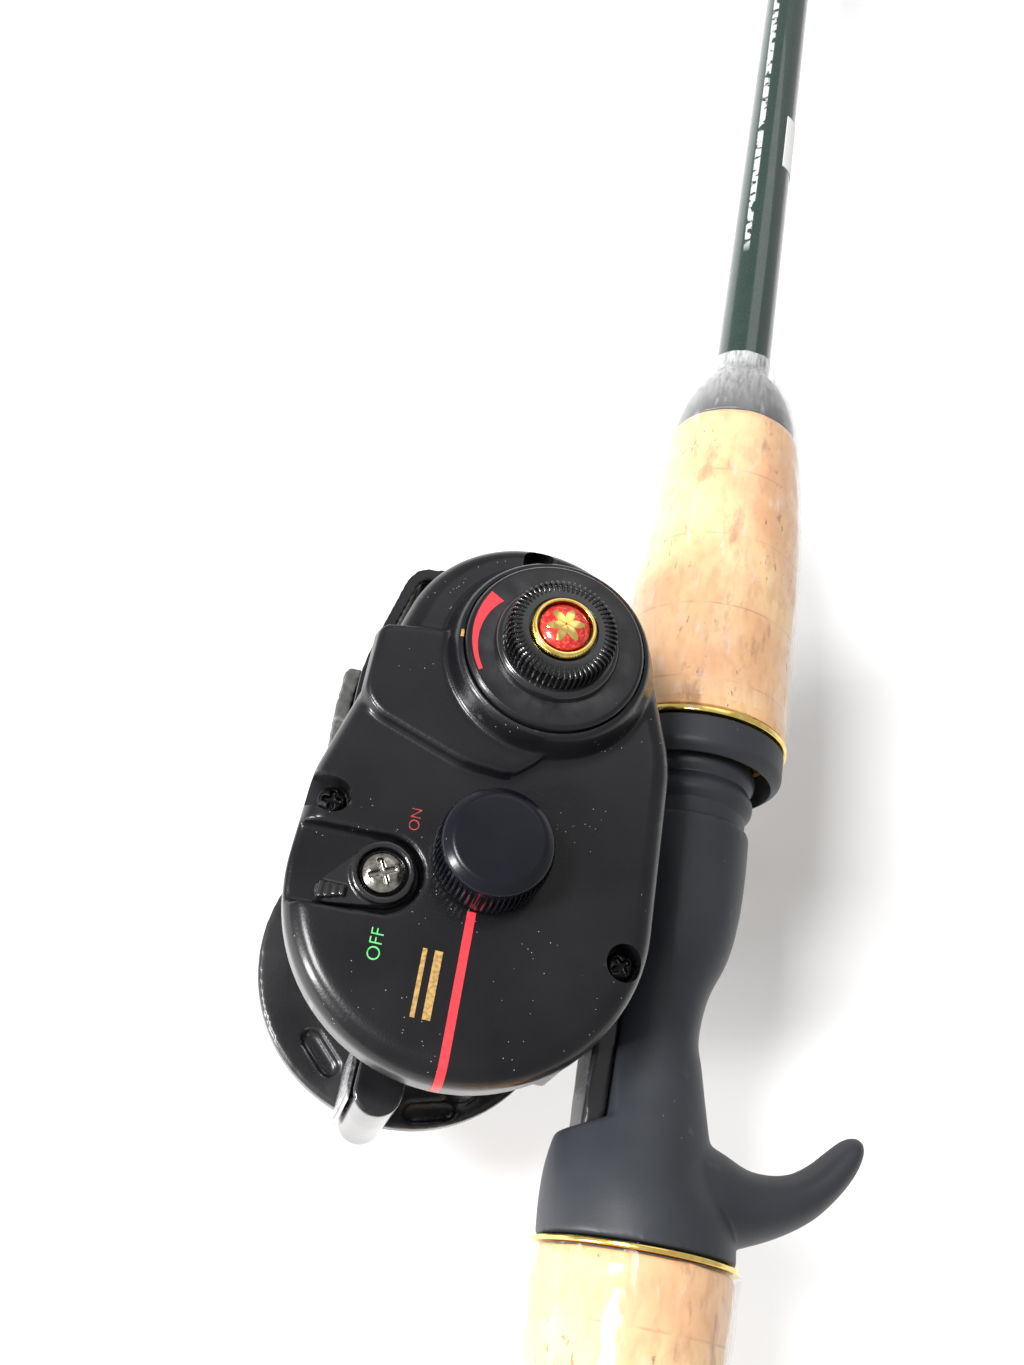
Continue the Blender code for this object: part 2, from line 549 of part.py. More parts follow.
def make_dial():
    """The brake dial: a broad disc with a shiny collar, a knurled ring and a domed badge."""
    top = 38.0
    stem = [(0, 34.9), (7.9, 34.9), (8.2, 34.2), (8.2, 33.4), (11.3, 33.3), (11.8, 32.7), (11.8, 29.7),
            (2.0, 29.7), (2.0, 23.0), (0, 23.0)]
    at = (*DIAL_AT, 0)
    dial = turned("brake_dial", stem, GLOSS, at=at, steps=28)
    crown = slab("knurl_form", knurled(26, 6.6, 7.2), 34.5, top, at=at)
    join(dial, crown)
    seat = disc("badge_seat_cut", 4.6, top - 1.0, top + 1, at=at)
    cut(dial, seat)
    lip = [(4.0, top + 0.9), (4.3, top + 0.5), (4.3, top - 0.7)]
    sleeve("dial_bezel", lip, [(3.5, top - 0.7), (3.5, top + 0.9)], GOLD, at=at)
    dome = [(3.2 * sin(i * pi / 10), top + 0.2 + 1.1 * cos(i * pi / 10)) for i in range(6)]
    turned("dial_jewel", dome + [(3.2, top - 0.7), (0, top - 0.7)], ENAMEL, at=at, steps=16)
    ring_between("magnet_ring", 10.0, 7.2, 20.4, 22.0, STEEL, at=(*SPOOL_AT, 0), steps=24)


def make_tension_knob():
    at = (*SPOOL_AT, 0)
    knob = slab("tension_knob", knurled(28, 6.9, 7.4), 28.3, 35.4, REEL, at=at)
    cap = turned("cap_form", [(0, 36.3), (6.0, 36.3), (6.8, 35.2), (6.8, 34.0), (0, 34.0)], None, at=at)
    hub = disc("hub_form", 3.3, 27.4, 30, at=at)
    join(knob, cap, hub)


def make_flip_lever():
    at = (*FLIP_AT, 0)
    arm = wrap([((0, 0), 4.1), ((-6.2, -3.5), 1.5)], count=40)
    lever = slab("flip_lever", arm, 26.3, 27.6, REEL, at=at)
    collar = disc("collar_form", 3.9, 27.0, 28.4, at=at)
    x, y = FLIP_AT
    ridge = block("ridge_form", (x - 7.2, y - 4.9, 27.0), (x - 4.6, y - 2.5, 28.5))
    join(lever, collar, ridge)
    well = disc("lever_well_cut", 3.2, 27.2, 40, at=at)
    cut(lever, well, disc("lever_bore_cut", 1.2 + GAP, 20, 40, at=at))
    head = [(0, 28.6), (1.6, 28.5), (2.6, 28.0), (2.85, 27.5), (1.2, 27.5), (1.2, 23.0), (0, 23.0)]
    screw = turned("flip_screw", head, STEEL, at=at)
    cut(screw, *cross_cut(FLIP_AT, 27.8, 3.4))


def cross_cut(at, low, length):
    """Two crossed slots for a screwdriver."""
    half = length / 2
    return [block("slot_cut", (at[0] - half, at[1] - 0.35, low), (at[0] + half, at[1] + 0.35, low + 3)),
            block("slot_cut", (at[0] - 0.35, at[1] - half, low), (at[0] + 0.35, at[1] + half, low + 3))]


def make_plate_screws():
    for name, spot in SCREW_SPOTS.items():
        head = [(0, 26.2), (2.0, 25.2), (2.0, 24.3), (1.0, 24.3), (1.0, 15.0), (0, 15.0)]
        screw = turned(name, head, STEEL, at=(*spot, 0), steps=14)
        cut(screw, *cross_cut(spot, 25.4, 2.4))


def make_spool():
    at = (*SPOOL_AT, 0)
    half = FRAME_HALF - RING_T + 1.0
    edge = [(2.6, half), (15.6, half), (SPOOL_R, half - 0.6), (SPOOL_R, half - 1.3), (15.0, half - 1.9),
            (9.2, half - 2.4)]
    outside = edge + [(radius, -height) for radius, height in reversed(edge)]
    bore = [(2.6, -half), (2.6, -half + 1.6), (1.8, -half + 1.6), (1.8, half - 1.6), (2.6, half - 1.6)]
    sleeve("spool", outside, bore, ALLOY, at=at, steps=24)
    disc("spool_shaft", 1.5, -28.3, 27.0, STEEL, at=at, steps=16)
    for name, low in (("spool_bearing_near", 19.4), ("spool_bearing_far", -27.9)):
        ring_between(name, 4.5, 1.5 + GAP, low, low + 2.8, STEEL, at=at, steps=18)
    line = atan2(CRANK_AT[1] - SPOOL_AT[1], CRANK_AT[0] - SPOOL_AT[0])
    pitch = MODULE * PINION_TEETH / 2
    shape = toothed(PINION_TEETH, pitch - 0.55, pitch + 0.35, line, 0.19)
    pinion = slab("pinion_gear", shape, -23.9, -20.9, BRASS, at=at)
    cut(pinion, disc("pinion_bore_cut", 1.5 + GAP * 0.2, -30, -15, at=at, steps=16))


def make_drive():
    at = (*CRANK_AT, 0)
    line = atan2(SPOOL_AT[1] - CRANK_AT[1], SPOOL_AT[0] - CRANK_AT[0])
    pitch = MODULE * MAIN_TEETH / 2
    shape = toothed(MAIN_TEETH, pitch - 0.6, pitch + 0.3, line + pi / MAIN_TEETH, 0.19)
    gear = slab("main_gear", shape, -23.6, -21.6, BRASS, at=at)
    cut(gear, disc("gear_bore_cut", 2.6 + GAP, -30, -15, at=at))
    ring_between("drag_washer", 8.5, 2.6 + GAP, -21.3, -20.6, WASHER, at=at)
    shaft = [(0, -16.6), (2.6, -16.6), (2.6, -41.0), (2.0, -41.0), (2.0, -44.6), (0, -44.6)]
    turned("drive_shaft", shaft, STEEL, at=at, steps=18)
    star = knurled(5, 8.2, 15.0)
    wheel = slab("star_drag", star, -33.6, -31.2, ALLOY, at=at)
    bevel(wheel, 0.9, 1, 30)
    hub = disc("star_hub_form", 5.4, -36.0, -31.0, at=at)
    join(wheel, hub)
    cut(wheel, disc("star_bore_cut", 2.6 + GAP, -40, -20, at=at))
    arm = wrap([((0, 0), 6.0), ((0, CRANK_LENGTH), 4.2), ((0, -14), 4.4)], count=32)
    crank = slab("crank_arm", arm, -38.8, -36.4, ALLOY, at=at)
    bevel(crank, 0.6, 1, 50)
    cut(crank, disc("arm_bore_cut", 2.6 + GAP, -50, -20, at=at),
        disc("pin_bore_cut", 1.8 + GAP, -50, -20, at=(CRANK_AT[0], CRANK_AT[1] + CRANK_LENGTH, 0), steps=16))
    hexagon = [(4.4 * cos(i * pi / 3), 4.4 * sin(i * pi / 3)) for i in range(6)]
    nut = slab("crank_nut", hexagon, -44.0, -41.3, STEEL, at=at)
    bevel(nut, 0.4, 1, 30)
    cut(nut, disc("nut_bore_cut", 2.0 + GAP, -50, -30, at=at, steps=18))
    end = (CRANK_AT[0], CRANK_AT[1] + CRANK_LENGTH, 0)
    pin = [(0, -35.6), (3.0, -35.6), (3.0, -36.1), (1.8, -36.1), (1.8, -60.0), (0, -60.0)]
    turned("knob_pin", pin, STEEL, at=end, steps=16)
    grip = [(4.0, -39.4), (5.6, -40.4), (6.4, -45), (6.2, -52), (7.4, -57.5), (6.8, -60.6), (4.8, -61.6)]
    sleeve("crank_knob", grip, [(1.8 + GAP, -61.6), (1.8 + GAP, -39.4)], RUBBER, at=end)


def make_line_guide():
    at = (*WORM_AT, 0)
    worm = [(0, 17.4), (1.6, 17.4), (1.6, 13.4), (2.0, 13.4), (2.0, -17.6), (1.5, -17.6), (1.5, -28.3),
            (0, -28.3)]
    turned("worm_shaft", worm, STEEL, at=at, steps=18)
    pitch = MODULE * WORM_TEETH / 2
    shape = toothed(WORM_TEETH, pitch - 0.6, pitch + 0.3, WORM_ANGLE + pi + turn_match(), 0.19)
    gear = slab("worm_gear", shape, -23.4, -21.8, BRASS, at=at)
    cut(gear, disc("worm_gear_bore_cut", 1.5 + GAP * 0.2, -30, -15, at=at, steps=16))
    disc("guide_rod", 1.2, -17.4, 17.4, STEEL, at=(*ROD_AT, 0), steps=16)
    carriage = [(WORM_AT, 3.6), (ROD_AT, 2.6), ((WORM_AT[0] - 6.5, WORM_AT[1] + 6.0), 3.4)]
    guide = slab("line_guide", wrap(carriage, count=40), -3.2, 3.2, GLOSS)
    cut(guide, disc("guide_worm_cut", 2.0 + GAP, -10, 10, at=at, steps=16),
        disc("guide_rail_cut", 1.2 + GAP, -10, 10, at=(*ROD_AT, 0), steps=16),
        disc("guide_eye_cut", 1.9, -20, 20, at=(WORM_AT[0] - 6.8, WORM_AT[1] + 3, 0), axis="Y", steps=16))


def turn_match():
    """How far the worm gear is turned so that its tooth meets a gap of the main gear."""
    line = atan2(SPOOL_AT[1] - CRANK_AT[1], SPOOL_AT[0] - CRANK_AT[0])
    main_pitch = 2 * pi / MAIN_TEETH
    past_gap = (WORM_ANGLE - line) % main_pitch
    return past_gap * MAIN_TEETH / WORM_TEETH


make_blank()
make_rear_grip()
make_seat()
make_fore_grip()
for number, (station, ring_radius) in enumerate(((330, 6.0), (470, 5.0), (620, 4.2)), start=1):
    make_guide(number, station, ring_radius)
make_tip()
make_frame()
make_near_plate()
make_far_plate()
make_front_cover()
make_thumb_bar()
make_dial()
make_tension_knob()
make_flip_lever()
make_plate_screws()
make_spool()
make_drive()
make_line_guide()
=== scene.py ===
"""Short casting rod for ice fishing with its low-profile reel, laid on a pale table.

The parts' frame: +Y runs to the tip, +X is the trigger's side, and +Z is the reel's flat side plate.
Sizes are millimetres, made metres where a mesh is made.
"""
from math import cos, hypot, pi, radians, sin

import bmesh
import bpy
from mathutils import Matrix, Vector, noise
from mathutils.bvhtree import BVHTree


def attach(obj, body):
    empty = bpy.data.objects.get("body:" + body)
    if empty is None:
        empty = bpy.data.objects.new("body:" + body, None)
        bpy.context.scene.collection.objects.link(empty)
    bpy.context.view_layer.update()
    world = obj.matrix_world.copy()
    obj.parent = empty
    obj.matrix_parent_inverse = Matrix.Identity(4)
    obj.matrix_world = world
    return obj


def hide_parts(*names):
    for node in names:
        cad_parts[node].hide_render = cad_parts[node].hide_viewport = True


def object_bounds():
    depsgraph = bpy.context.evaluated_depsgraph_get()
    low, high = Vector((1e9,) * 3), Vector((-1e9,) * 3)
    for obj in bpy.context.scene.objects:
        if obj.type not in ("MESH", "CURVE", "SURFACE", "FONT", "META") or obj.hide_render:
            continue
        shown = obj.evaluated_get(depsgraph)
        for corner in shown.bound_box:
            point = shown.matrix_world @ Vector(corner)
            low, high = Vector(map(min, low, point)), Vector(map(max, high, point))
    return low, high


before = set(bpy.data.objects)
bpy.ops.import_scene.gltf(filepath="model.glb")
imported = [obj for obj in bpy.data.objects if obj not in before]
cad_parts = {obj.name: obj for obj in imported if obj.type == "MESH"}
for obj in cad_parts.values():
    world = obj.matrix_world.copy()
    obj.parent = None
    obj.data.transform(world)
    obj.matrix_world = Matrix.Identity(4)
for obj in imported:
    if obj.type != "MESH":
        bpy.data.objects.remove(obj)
cad_box = [list(corner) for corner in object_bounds()]


# ---- Table, light and camera: a matt white table top under one large window-like light on the
# reel's side, in a bright white room.
MM = 0.001


def node(tree, kind, inputs=None, **settings):
    """Adds a node. An input that is given a socket is joined to it, and any other is set."""
    own_name = kind.startswith(("Geometry", "Function", "NodeGroup"))
    made = tree.nodes.new(kind if own_name else "ShaderNode" + kind)
    for key, value in settings.items():
        setattr(made, key, value)
    for key, value in (inputs or {}).items():
        if isinstance(value, bpy.types.NodeSocket):
            tree.links.new(value, made.inputs[key])
        else:
            made.inputs[key].default_value = value
    return made


def finish(name, **sockets):
    """A material, its tree and its shader, with the constants set on the shader's own sockets."""
    made = bpy.data.materials.new(name)
    made.use_nodes = True
    shader = made.node_tree.nodes["Principled BSDF"]
    for key, value in sockets.items():
        shader.inputs[key.replace("_", " ")].default_value = value
    return made, made.node_tree, shader


def tint(tree, mask, under, over):
    """Lays one colour over another where the mask is white."""
    mixed = node(tree, "Mix", {0: mask}, data_type="RGBA")
    for index, colour in ((6, under), (7, over)):
        if isinstance(colour, bpy.types.NodeSocket):
            tree.links.new(colour, mixed.inputs[index])
        else:
            mixed.inputs[index].default_value = (*colour, 1.0)
    return mixed.outputs[2]


def place_on(tree):
    """Where a point lies on the object, in metres."""
    return node(tree, "TexCoord").outputs["Object"]


def clouds(tree, size, detail=3.0, stretch=(1.0, 1.0, 1.0), roughness=0.5):
    """Noise in object space whose features are about size millimetres across."""
    moved = node(tree, "Mapping", {"Vector": place_on(tree), "Scale": stretch}).outputs["Vector"]
    return node(tree, "TexNoise", {"Vector": moved, "Scale": 1 / (size * MM), "Detail": detail,
                                   "Roughness": roughness}).outputs["Fac"]


def put(name, data):
    """An object of its own for the data, in the scene."""
    made = bpy.data.objects.new(name, data)
    bpy.context.scene.collection.objects.link(made)
    return made


def table_paint():
    made, tree, shader = finish("white_table", Roughness=0.55)
    shade = tint(tree, clouds(tree, 40), (0.86, 0.86, 0.855), (0.9, 0.9, 0.9))
    tree.links.new(shade, shader.inputs["Base Color"])
    return made


TABLE_SPAN, TABLE_GAP, ROOM_LIGHT = 4000, 0.2, 0.52
table_mesh = bpy.data.meshes.new("table_top")
corners = [(x * TABLE_SPAN * MM, y * TABLE_SPAN * MM, cad_box[0][2] - TABLE_GAP * MM) for x, y in
           ((-1, -1), (1, -1), (1, 1), (-1, 1))]
table_mesh.from_pydata(corners, [], [(0, 1, 2, 3)])
table_mesh.materials.append(table_paint())
table = put("table_top", table_mesh)

room = bpy.data.worlds.new("white_room")
room.use_nodes = True
room.node_tree.nodes["Background"].inputs["Color"].default_value = (1.0, 1.0, 1.0, 1.0)
room.node_tree.nodes["Background"].inputs["Strength"].default_value = ROOM_LIGHT
bpy.context.scene.world = room
bpy.context.scene.view_settings.view_transform = "Standard"

for name, spot, target, size, long_side, power in (
        ("window", (-620, -40, 1120), (0, 30, 0), 280, 280, 14.0),
        ("side_window", (-900, -390, 430), (-40, 40, 20), 140, 360, 15.0),
        ("ceiling", (150, 900, 1000), (0, 150, 0), 700, 700, 1.5)):
    lamp = bpy.data.lights.new(name, "AREA")
    lamp.shape = "RECTANGLE"
    lamp.size = size * MM
    lamp.size_y = long_side * MM
    lamp.energy = power
    holder = put(name, lamp)
    holder.location = Vector(spot) * MM
    holder.rotation_euler = (Vector(target) - Vector(spot)).to_track_quat("-Z", "Y").to_euler()

CAMERA_SPOT, CAMERA_TILT, CAMERA_LENS = (-49.94, -20.66, 199.35), (24.72, -10.34, 9.72), 38.46
camera = bpy.data.cameras.new("camera")
camera.sensor_fit = "VERTICAL"
camera.sensor_height = 36.0
camera.lens = CAMERA_LENS
camera.clip_start = 0.01
viewer = put("camera", camera)
viewer.location = Vector(CAMERA_SPOT) * MM
viewer.rotation_euler = [radians(turn) for turn in CAMERA_TILT]
bpy.context.scene.camera = viewer


# ---- Rod blank: a tapering tube of rolled fibre under dark green lacquer and clear coat, with a
# worn silver pinstripe and a white paper band.
BLANK_REAR, TIP = 62.0, 757.0


def blank_radius(y):
    return 5.2 - 4.1 * (y - BLANK_REAR) / (TIP - 2 - BLANK_REAR)


def between(tree, value, low, high, first=0.0, last=1.0):
    """Maps a value's range low-high onto first-last and holds it there."""
    return node(tree, "MapRange", {"Value": value, "From Min": low, "From Max": high, "To Min": first,
                                   "To Max": last}).outputs["Result"]


def reckon(tree, operation, first, second=0.0):
    return node(tree, "Math", {0: first, 1: second}, operation=operation).outputs[0]


def bumped(tree, shader, height, strength, depth=0.05):
    """Feeds a height into the shader's normal; depth is in millimetres."""
    bump = node(tree, "Bump", {"Height": height, "Strength": strength, "Distance": depth * MM})
    tree.links.new(bump.outputs["Normal"], shader.inputs["Normal"])


def dressed(tree, shader, colour, shine):
    """Feeds a colour and a roughness into the shader."""
    tree.links.new(colour, shader.inputs["Base Color"])
    tree.links.new(shine, shader.inputs["Roughness"])


def closed_mesh(form):
    """Turns a bmesh into a mesh with its doubles merged and its faces outwards."""
    bmesh.ops.remove_doubles(form, verts=form.verts, dist=0.0000005)
    bmesh.ops.recalc_face_normals(form, faces=form.faces)
    mesh = bpy.data.meshes.new("form")
    form.to_mesh(mesh)
    form.free()
    return mesh


def soften(points, radius, closed=False, steps=5):
    """Rounds a line's corners; a point may carry its own radius as its third number."""
    made = []
    for i, point in enumerate(points):
        here = Vector(point[:2])
        reach = point[2] if len(point) > 2 else radius
        if reach == 0 or (not closed and i in (0, len(points) - 1)):
            made.append(tuple(here))
            continue
        before = Vector(points[i - 1][:2]) - here
        after = Vector(points[(i + 1) % len(points)][:2]) - here
        reach = min(reach, before.length / 2, after.length / 2)
        start, end = here + before.normalized() * reach, here + after.normalized() * reach
        for k in range(steps + 1):
            t = k / steps
            made.append(tuple(start * (1 - t) ** 2 + here * 2 * t * (1 - t) + end * t * t))
    return made


def lathe(profile, at=(0, 0, 0), axis="Z", steps=72, bored=False):
    """Turns (radius, height) points about an axis; a radius of 0 is a pole."""
    form = bmesh.new()
    rows = []
    for radius, height in profile:
        row = []
        for i in range(steps if radius > 0 else 1):
            way = 2 * pi * i / steps
            u, v = radius * cos(way), radius * sin(way)
            spot = Vector((u, v, height)) if axis == "Z" else Vector((u, height, v))
            row.append(form.verts.new((spot + Vector(at)) * MM))
        rows.append(row)
    for low, high in list(zip(rows, rows[1:])) + ([(rows[-1], rows[0])] if bored else []):
        for i in range(steps):
            j = i + 1
            ring = [low[i % len(low)], low[j % len(low)], high[j % len(high)], high[i % len(high)]]
            ring = list(dict.fromkeys(ring))
            if len(ring) > 2:
                form.faces.new(ring)
    return closed_mesh(form)


def stack(layers):
    """A closed loft through layers of equal count, each a list of 3D points."""
    form = bmesh.new()
    rows = [[form.verts.new(Vector(p) * MM) for p in layer] for layer in layers]
    for low, high in zip(rows, rows[1:]):
        for i in range(len(low)):
            j = (i + 1) % len(low)
            form.faces.new((low[i], low[j], high[j], high[i]))
    form.faces.new(list(reversed(rows[0])))
    form.faces.new(rows[-1])
    return closed_mesh(form)


def piece(name, mesh, skin, body, *nodes, slot=None, crease=35):
    """Makes a finished piece: its material, its shading, its body and the nodes it stands for, which
    is the node of its own name where none is given and there is one."""
    made = put(name, mesh)
    mesh.name = name
    mesh.materials.clear()
    mesh.materials.append(skin)
    mesh.shade_smooth()
    if crease < 180:
        mesh.set_sharp_from_angle(angle=radians(crease))
    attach(made, body)
    nodes = nodes or ((name,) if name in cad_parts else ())
    if nodes:
        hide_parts(*nodes)
    return made


def blank_lacquer():
    made, tree, shader = finish("green_lacquer", Coat_Weight=1.0, Coat_Roughness=0.04, Coat_IOR=1.5)
    flake = between(tree, clouds(tree, 0.15, 1.0), 0.55, 0.75)
    green = tint(tree, clouds(tree, 9, stretch=(1, 0.3, 1)), (0.004, 0.016, 0.012), (0.008, 0.026, 0.019))
    green = tint(tree, flake, green, (0.02, 0.07, 0.05))
    spot = node(tree, "SeparateXYZ", {0: place_on(tree)})
    across = between(tree, reckon(tree, "ABSOLUTE", reckon(tree, "ADD", spot.outputs["X"], 2.9 * MM)),
                     0.35 * MM, 0.5 * MM, 1.0, 0.0)
    along = reckon(tree, "MULTIPLY", between(tree, spot.outputs["Y"], 171 * MM, 174 * MM),
                   between(tree, spot.outputs["Y"], 330 * MM, 380 * MM, 1.0, 0.0))
    near = between(tree, spot.outputs["Z"], 0.0, 1.0 * MM)
    worn = between(tree, clouds(tree, 1.6, 4.0), 0.42, 0.5)
    stripe = reckon(tree, "MULTIPLY", reckon(tree, "MULTIPLY", across, along), reckon(tree, "MULTIPLY",
                                                                                      near, worn))
    dressed(tree, shader, tint(tree, stripe, green, (0.55, 0.57, 0.58)),
            between(tree, clouds(tree, 3, 4.0), 0.3, 0.7, 0.2, 0.34))
    bumped(tree, shader, clouds(tree, 5, 2.0, (1, 2.4, 1)), 0.25)
    return made


stations = [TIP - 2.0 - i * (TIP - 2.0 - BLANK_REAR) / 60 for i in range(61)]
blank_side = [(0, TIP - 2)] + [(blank_radius(y), y) for y in stations] + [(0, BLANK_REAR)]
piece("rod_blank", lathe(blank_side, axis="Y", steps=64), blank_lacquer(), "rod")


def patch(low, high, first, last, lift):
    """A thin curved strip on the blank between two Y stations and two angles."""
    layers = []
    for k in range(9):
        y = low + (high - low) * k / 8
        layer = []
        for rise in (lift, 0.0):
            sweep = [radians(first + (last - first) * i / 18) for i in range(19)]
            if rise == 0.0:
                sweep.reverse()
            layer += [((blank_radius(y) + rise) * cos(a), y, (blank_radius(y) + rise) * sin(a))
                      for a in sweep]
        layers.append(layer)
    return stack(layers)


def label_paper():
    made, tree, shader = finish("label_paper", Roughness=0.4)
    tree.links.new(tint(tree, clouds(tree, 2, 5.0), (0.82, 0.82, 0.8), (0.9, 0.9, 0.89)),
                   shader.inputs["Base Color"])
    bumped(tree, shader, clouds(tree, 0.4), 0.3)
    return made


LABEL_REAR, LABEL_FRONT, LABEL_THICK = 193.5, 206.5, 0.12
piece("blank_label", patch(LABEL_REAR, LABEL_FRONT, -70, 66, LABEL_THICK), label_paper(), "rod")


# ---- Grips: rings of natural cork glued on a tube and turned, each shrink-wrapped in thin clear
# film; the butt closes in a moulded rubber cap, and brass-coloured rings trim the seat's two ends.
BORE, CORK_REAR, CORK_FRONT, CHECK_FRONT, BUTT = 9.9, -131, 130.8, 144.0, -139.0
RING_DEEP, FILM_THICK = 12.7, 0.12


def shader_group(name, inputs, outputs):
    """A shader group with float inputs; outputs are floats."""
    tree = bpy.data.node_groups.new(name, "ShaderNodeTree")
    for label, value in inputs.items():
        tree.interface.new_socket(label, in_out="INPUT",
                                  socket_type="NodeSocketFloat").default_value = value
    for label in outputs:
        tree.interface.new_socket(label, in_out="OUTPUT", socket_type="NodeSocketFloat")
    return tree, tree.nodes.new("NodeGroupInput").outputs, tree.nodes.new("NodeGroupOutput").inputs


def grain_group():
    """Fine moulding grain: a height and a slow change of tone, from the grain's scale."""
    tree, given, out = shader_group("moulding_grain", {"Scale": 2000.0, "Patch Scale": 60.0},
                                    ("Height", "Tone"))
    place = place_on(tree)
    fine = node(tree, "TexNoise", {"Vector": place, "Scale": given["Scale"], "Detail": 2.0})
    slow = node(tree, "TexNoise", {"Vector": place, "Scale": given["Patch Scale"], "Detail": 5.0})
    tree.links.new(fine.outputs["Fac"], out["Height"])
    tree.links.new(between(tree, slow.outputs["Fac"], 0.3, 0.7), out["Tone"])
    return tree


def dust_group():
    """Loose specks of dust and lint in drifts: a mask."""
    tree, given, out = shader_group("dust_specks", {"Scale": 1250.0, "Size": 0.068, "Amount": 0.5},
                                    ("Mask",))
    place = place_on(tree)
    cells = node(tree, "TexVoronoi", {"Vector": place, "Scale": given["Scale"]})
    speck = node(tree, "Math", {0: cells.outputs["Distance"], 1: given["Size"]},
                 operation="LESS_THAN").outputs[0]
    drift = node(tree, "TexNoise", {"Vector": place, "Scale": 90.0, "Detail": 3.0}).outputs["Fac"]
    kept = node(tree, "Math", {0: drift, 1: given["Amount"]}, operation="GREATER_THAN").outputs[0]
    tree.links.new(reckon(tree, "MULTIPLY", speck, kept), out["Mask"])
    return tree


def edge_wear_and_highlight_group():
    """Lighter, shinier convex edges, partly rubbed wear and partly a painted edge highlight: a mask from
    the surface's own convexity.
    """
    tree, given, out = shader_group("rubbed_edges", {"Start": 0.52, "Full": 0.6, "Scale": 300.0}, ("Mask",))
    sharp = node(tree, "NewGeometry").outputs["Pointiness"]
    edge = node(tree, "MapRange", {"Value": sharp, "From Min": given["Start"], "From Max": given["Full"]})
    place = place_on(tree)
    break_up = node(tree, "TexNoise", {"Vector": place, "Scale": given["Scale"],
                                       "Detail": 4.0}).outputs["Fac"]
    tree.links.new(reckon(tree, "MULTIPLY", edge.outputs["Result"], between(tree, break_up, 0.3, 0.6)),
                   out["Mask"])
    return tree


GRAIN, DUST, EDGE_WEAR_AND_HIGHLIGHT = grain_group(), dust_group(), edge_wear_and_highlight_group()


def placed(tree, group, **values):
    """Puts a shader group in a material with its own values."""
    made = node(tree, "Group", node_tree=group)
    for key, value in values.items():
        made.inputs[key.replace("_", " ")].default_value = value
    return made.outputs


def moulding(name, dark, light, rough, grain=0.5, bump=0.3, dust=None, edge_wear_and_highlight=0.0, rub_tone=(0.16, 0.16, 0.17),
             **sockets):
    """A moulded or cast finish: grain, drifts of tone, lighter convex edges that are partly rubbed wear and
    partly painted highlight, and dust in one material.
    """
    made, tree, shader = finish(name, **sockets)
    fine = placed(tree, GRAIN, Scale=1 / (grain * MM), Patch_Scale=70.0)
    colour = tint(tree, fine["Tone"], dark, light)
    shine = between(tree, fine["Tone"], 0.0, 1.0, rough - 0.05, rough + 0.07)
    # Convex edges are lightened in colour: partly rubbed wear, partly a painted edge highlight.
    if edge_wear_and_highlight:
        edge = reckon(tree, "MULTIPLY", placed(tree, EDGE_WEAR_AND_HIGHLIGHT)["Mask"], edge_wear_and_highlight)
        colour = tint(tree, edge, colour, rub_tone)
        shine = reckon(tree, "SUBTRACT", shine, reckon(tree, "MULTIPLY", edge, 0.12))
    if dust is not None:
        specks = placed(tree, DUST, Amount=dust)["Mask"]
        colour = tint(tree, specks, colour, (0.42, 0.41, 0.4))
        shine = reckon(tree, "ADD", shine, reckon(tree, "MULTIPLY", specks, 0.3))
    dressed(tree, shader, colour, shine)
    bumped(tree, shader, fine["Height"], bump)
    return made


def wobbled(mesh, size, amount, outwards=False):
    """Moves each point along its normal by smooth noise: size and amount are millimetres."""
    normals = [tuple(v.normal) for v in mesh.vertices]
    for vert, normal in zip(mesh.vertices, normals):
        push = noise.noise(vert.co / (size * MM))
        vert.co += Vector(normal) * (abs(push) if outwards else push) * amount * MM
    return mesh


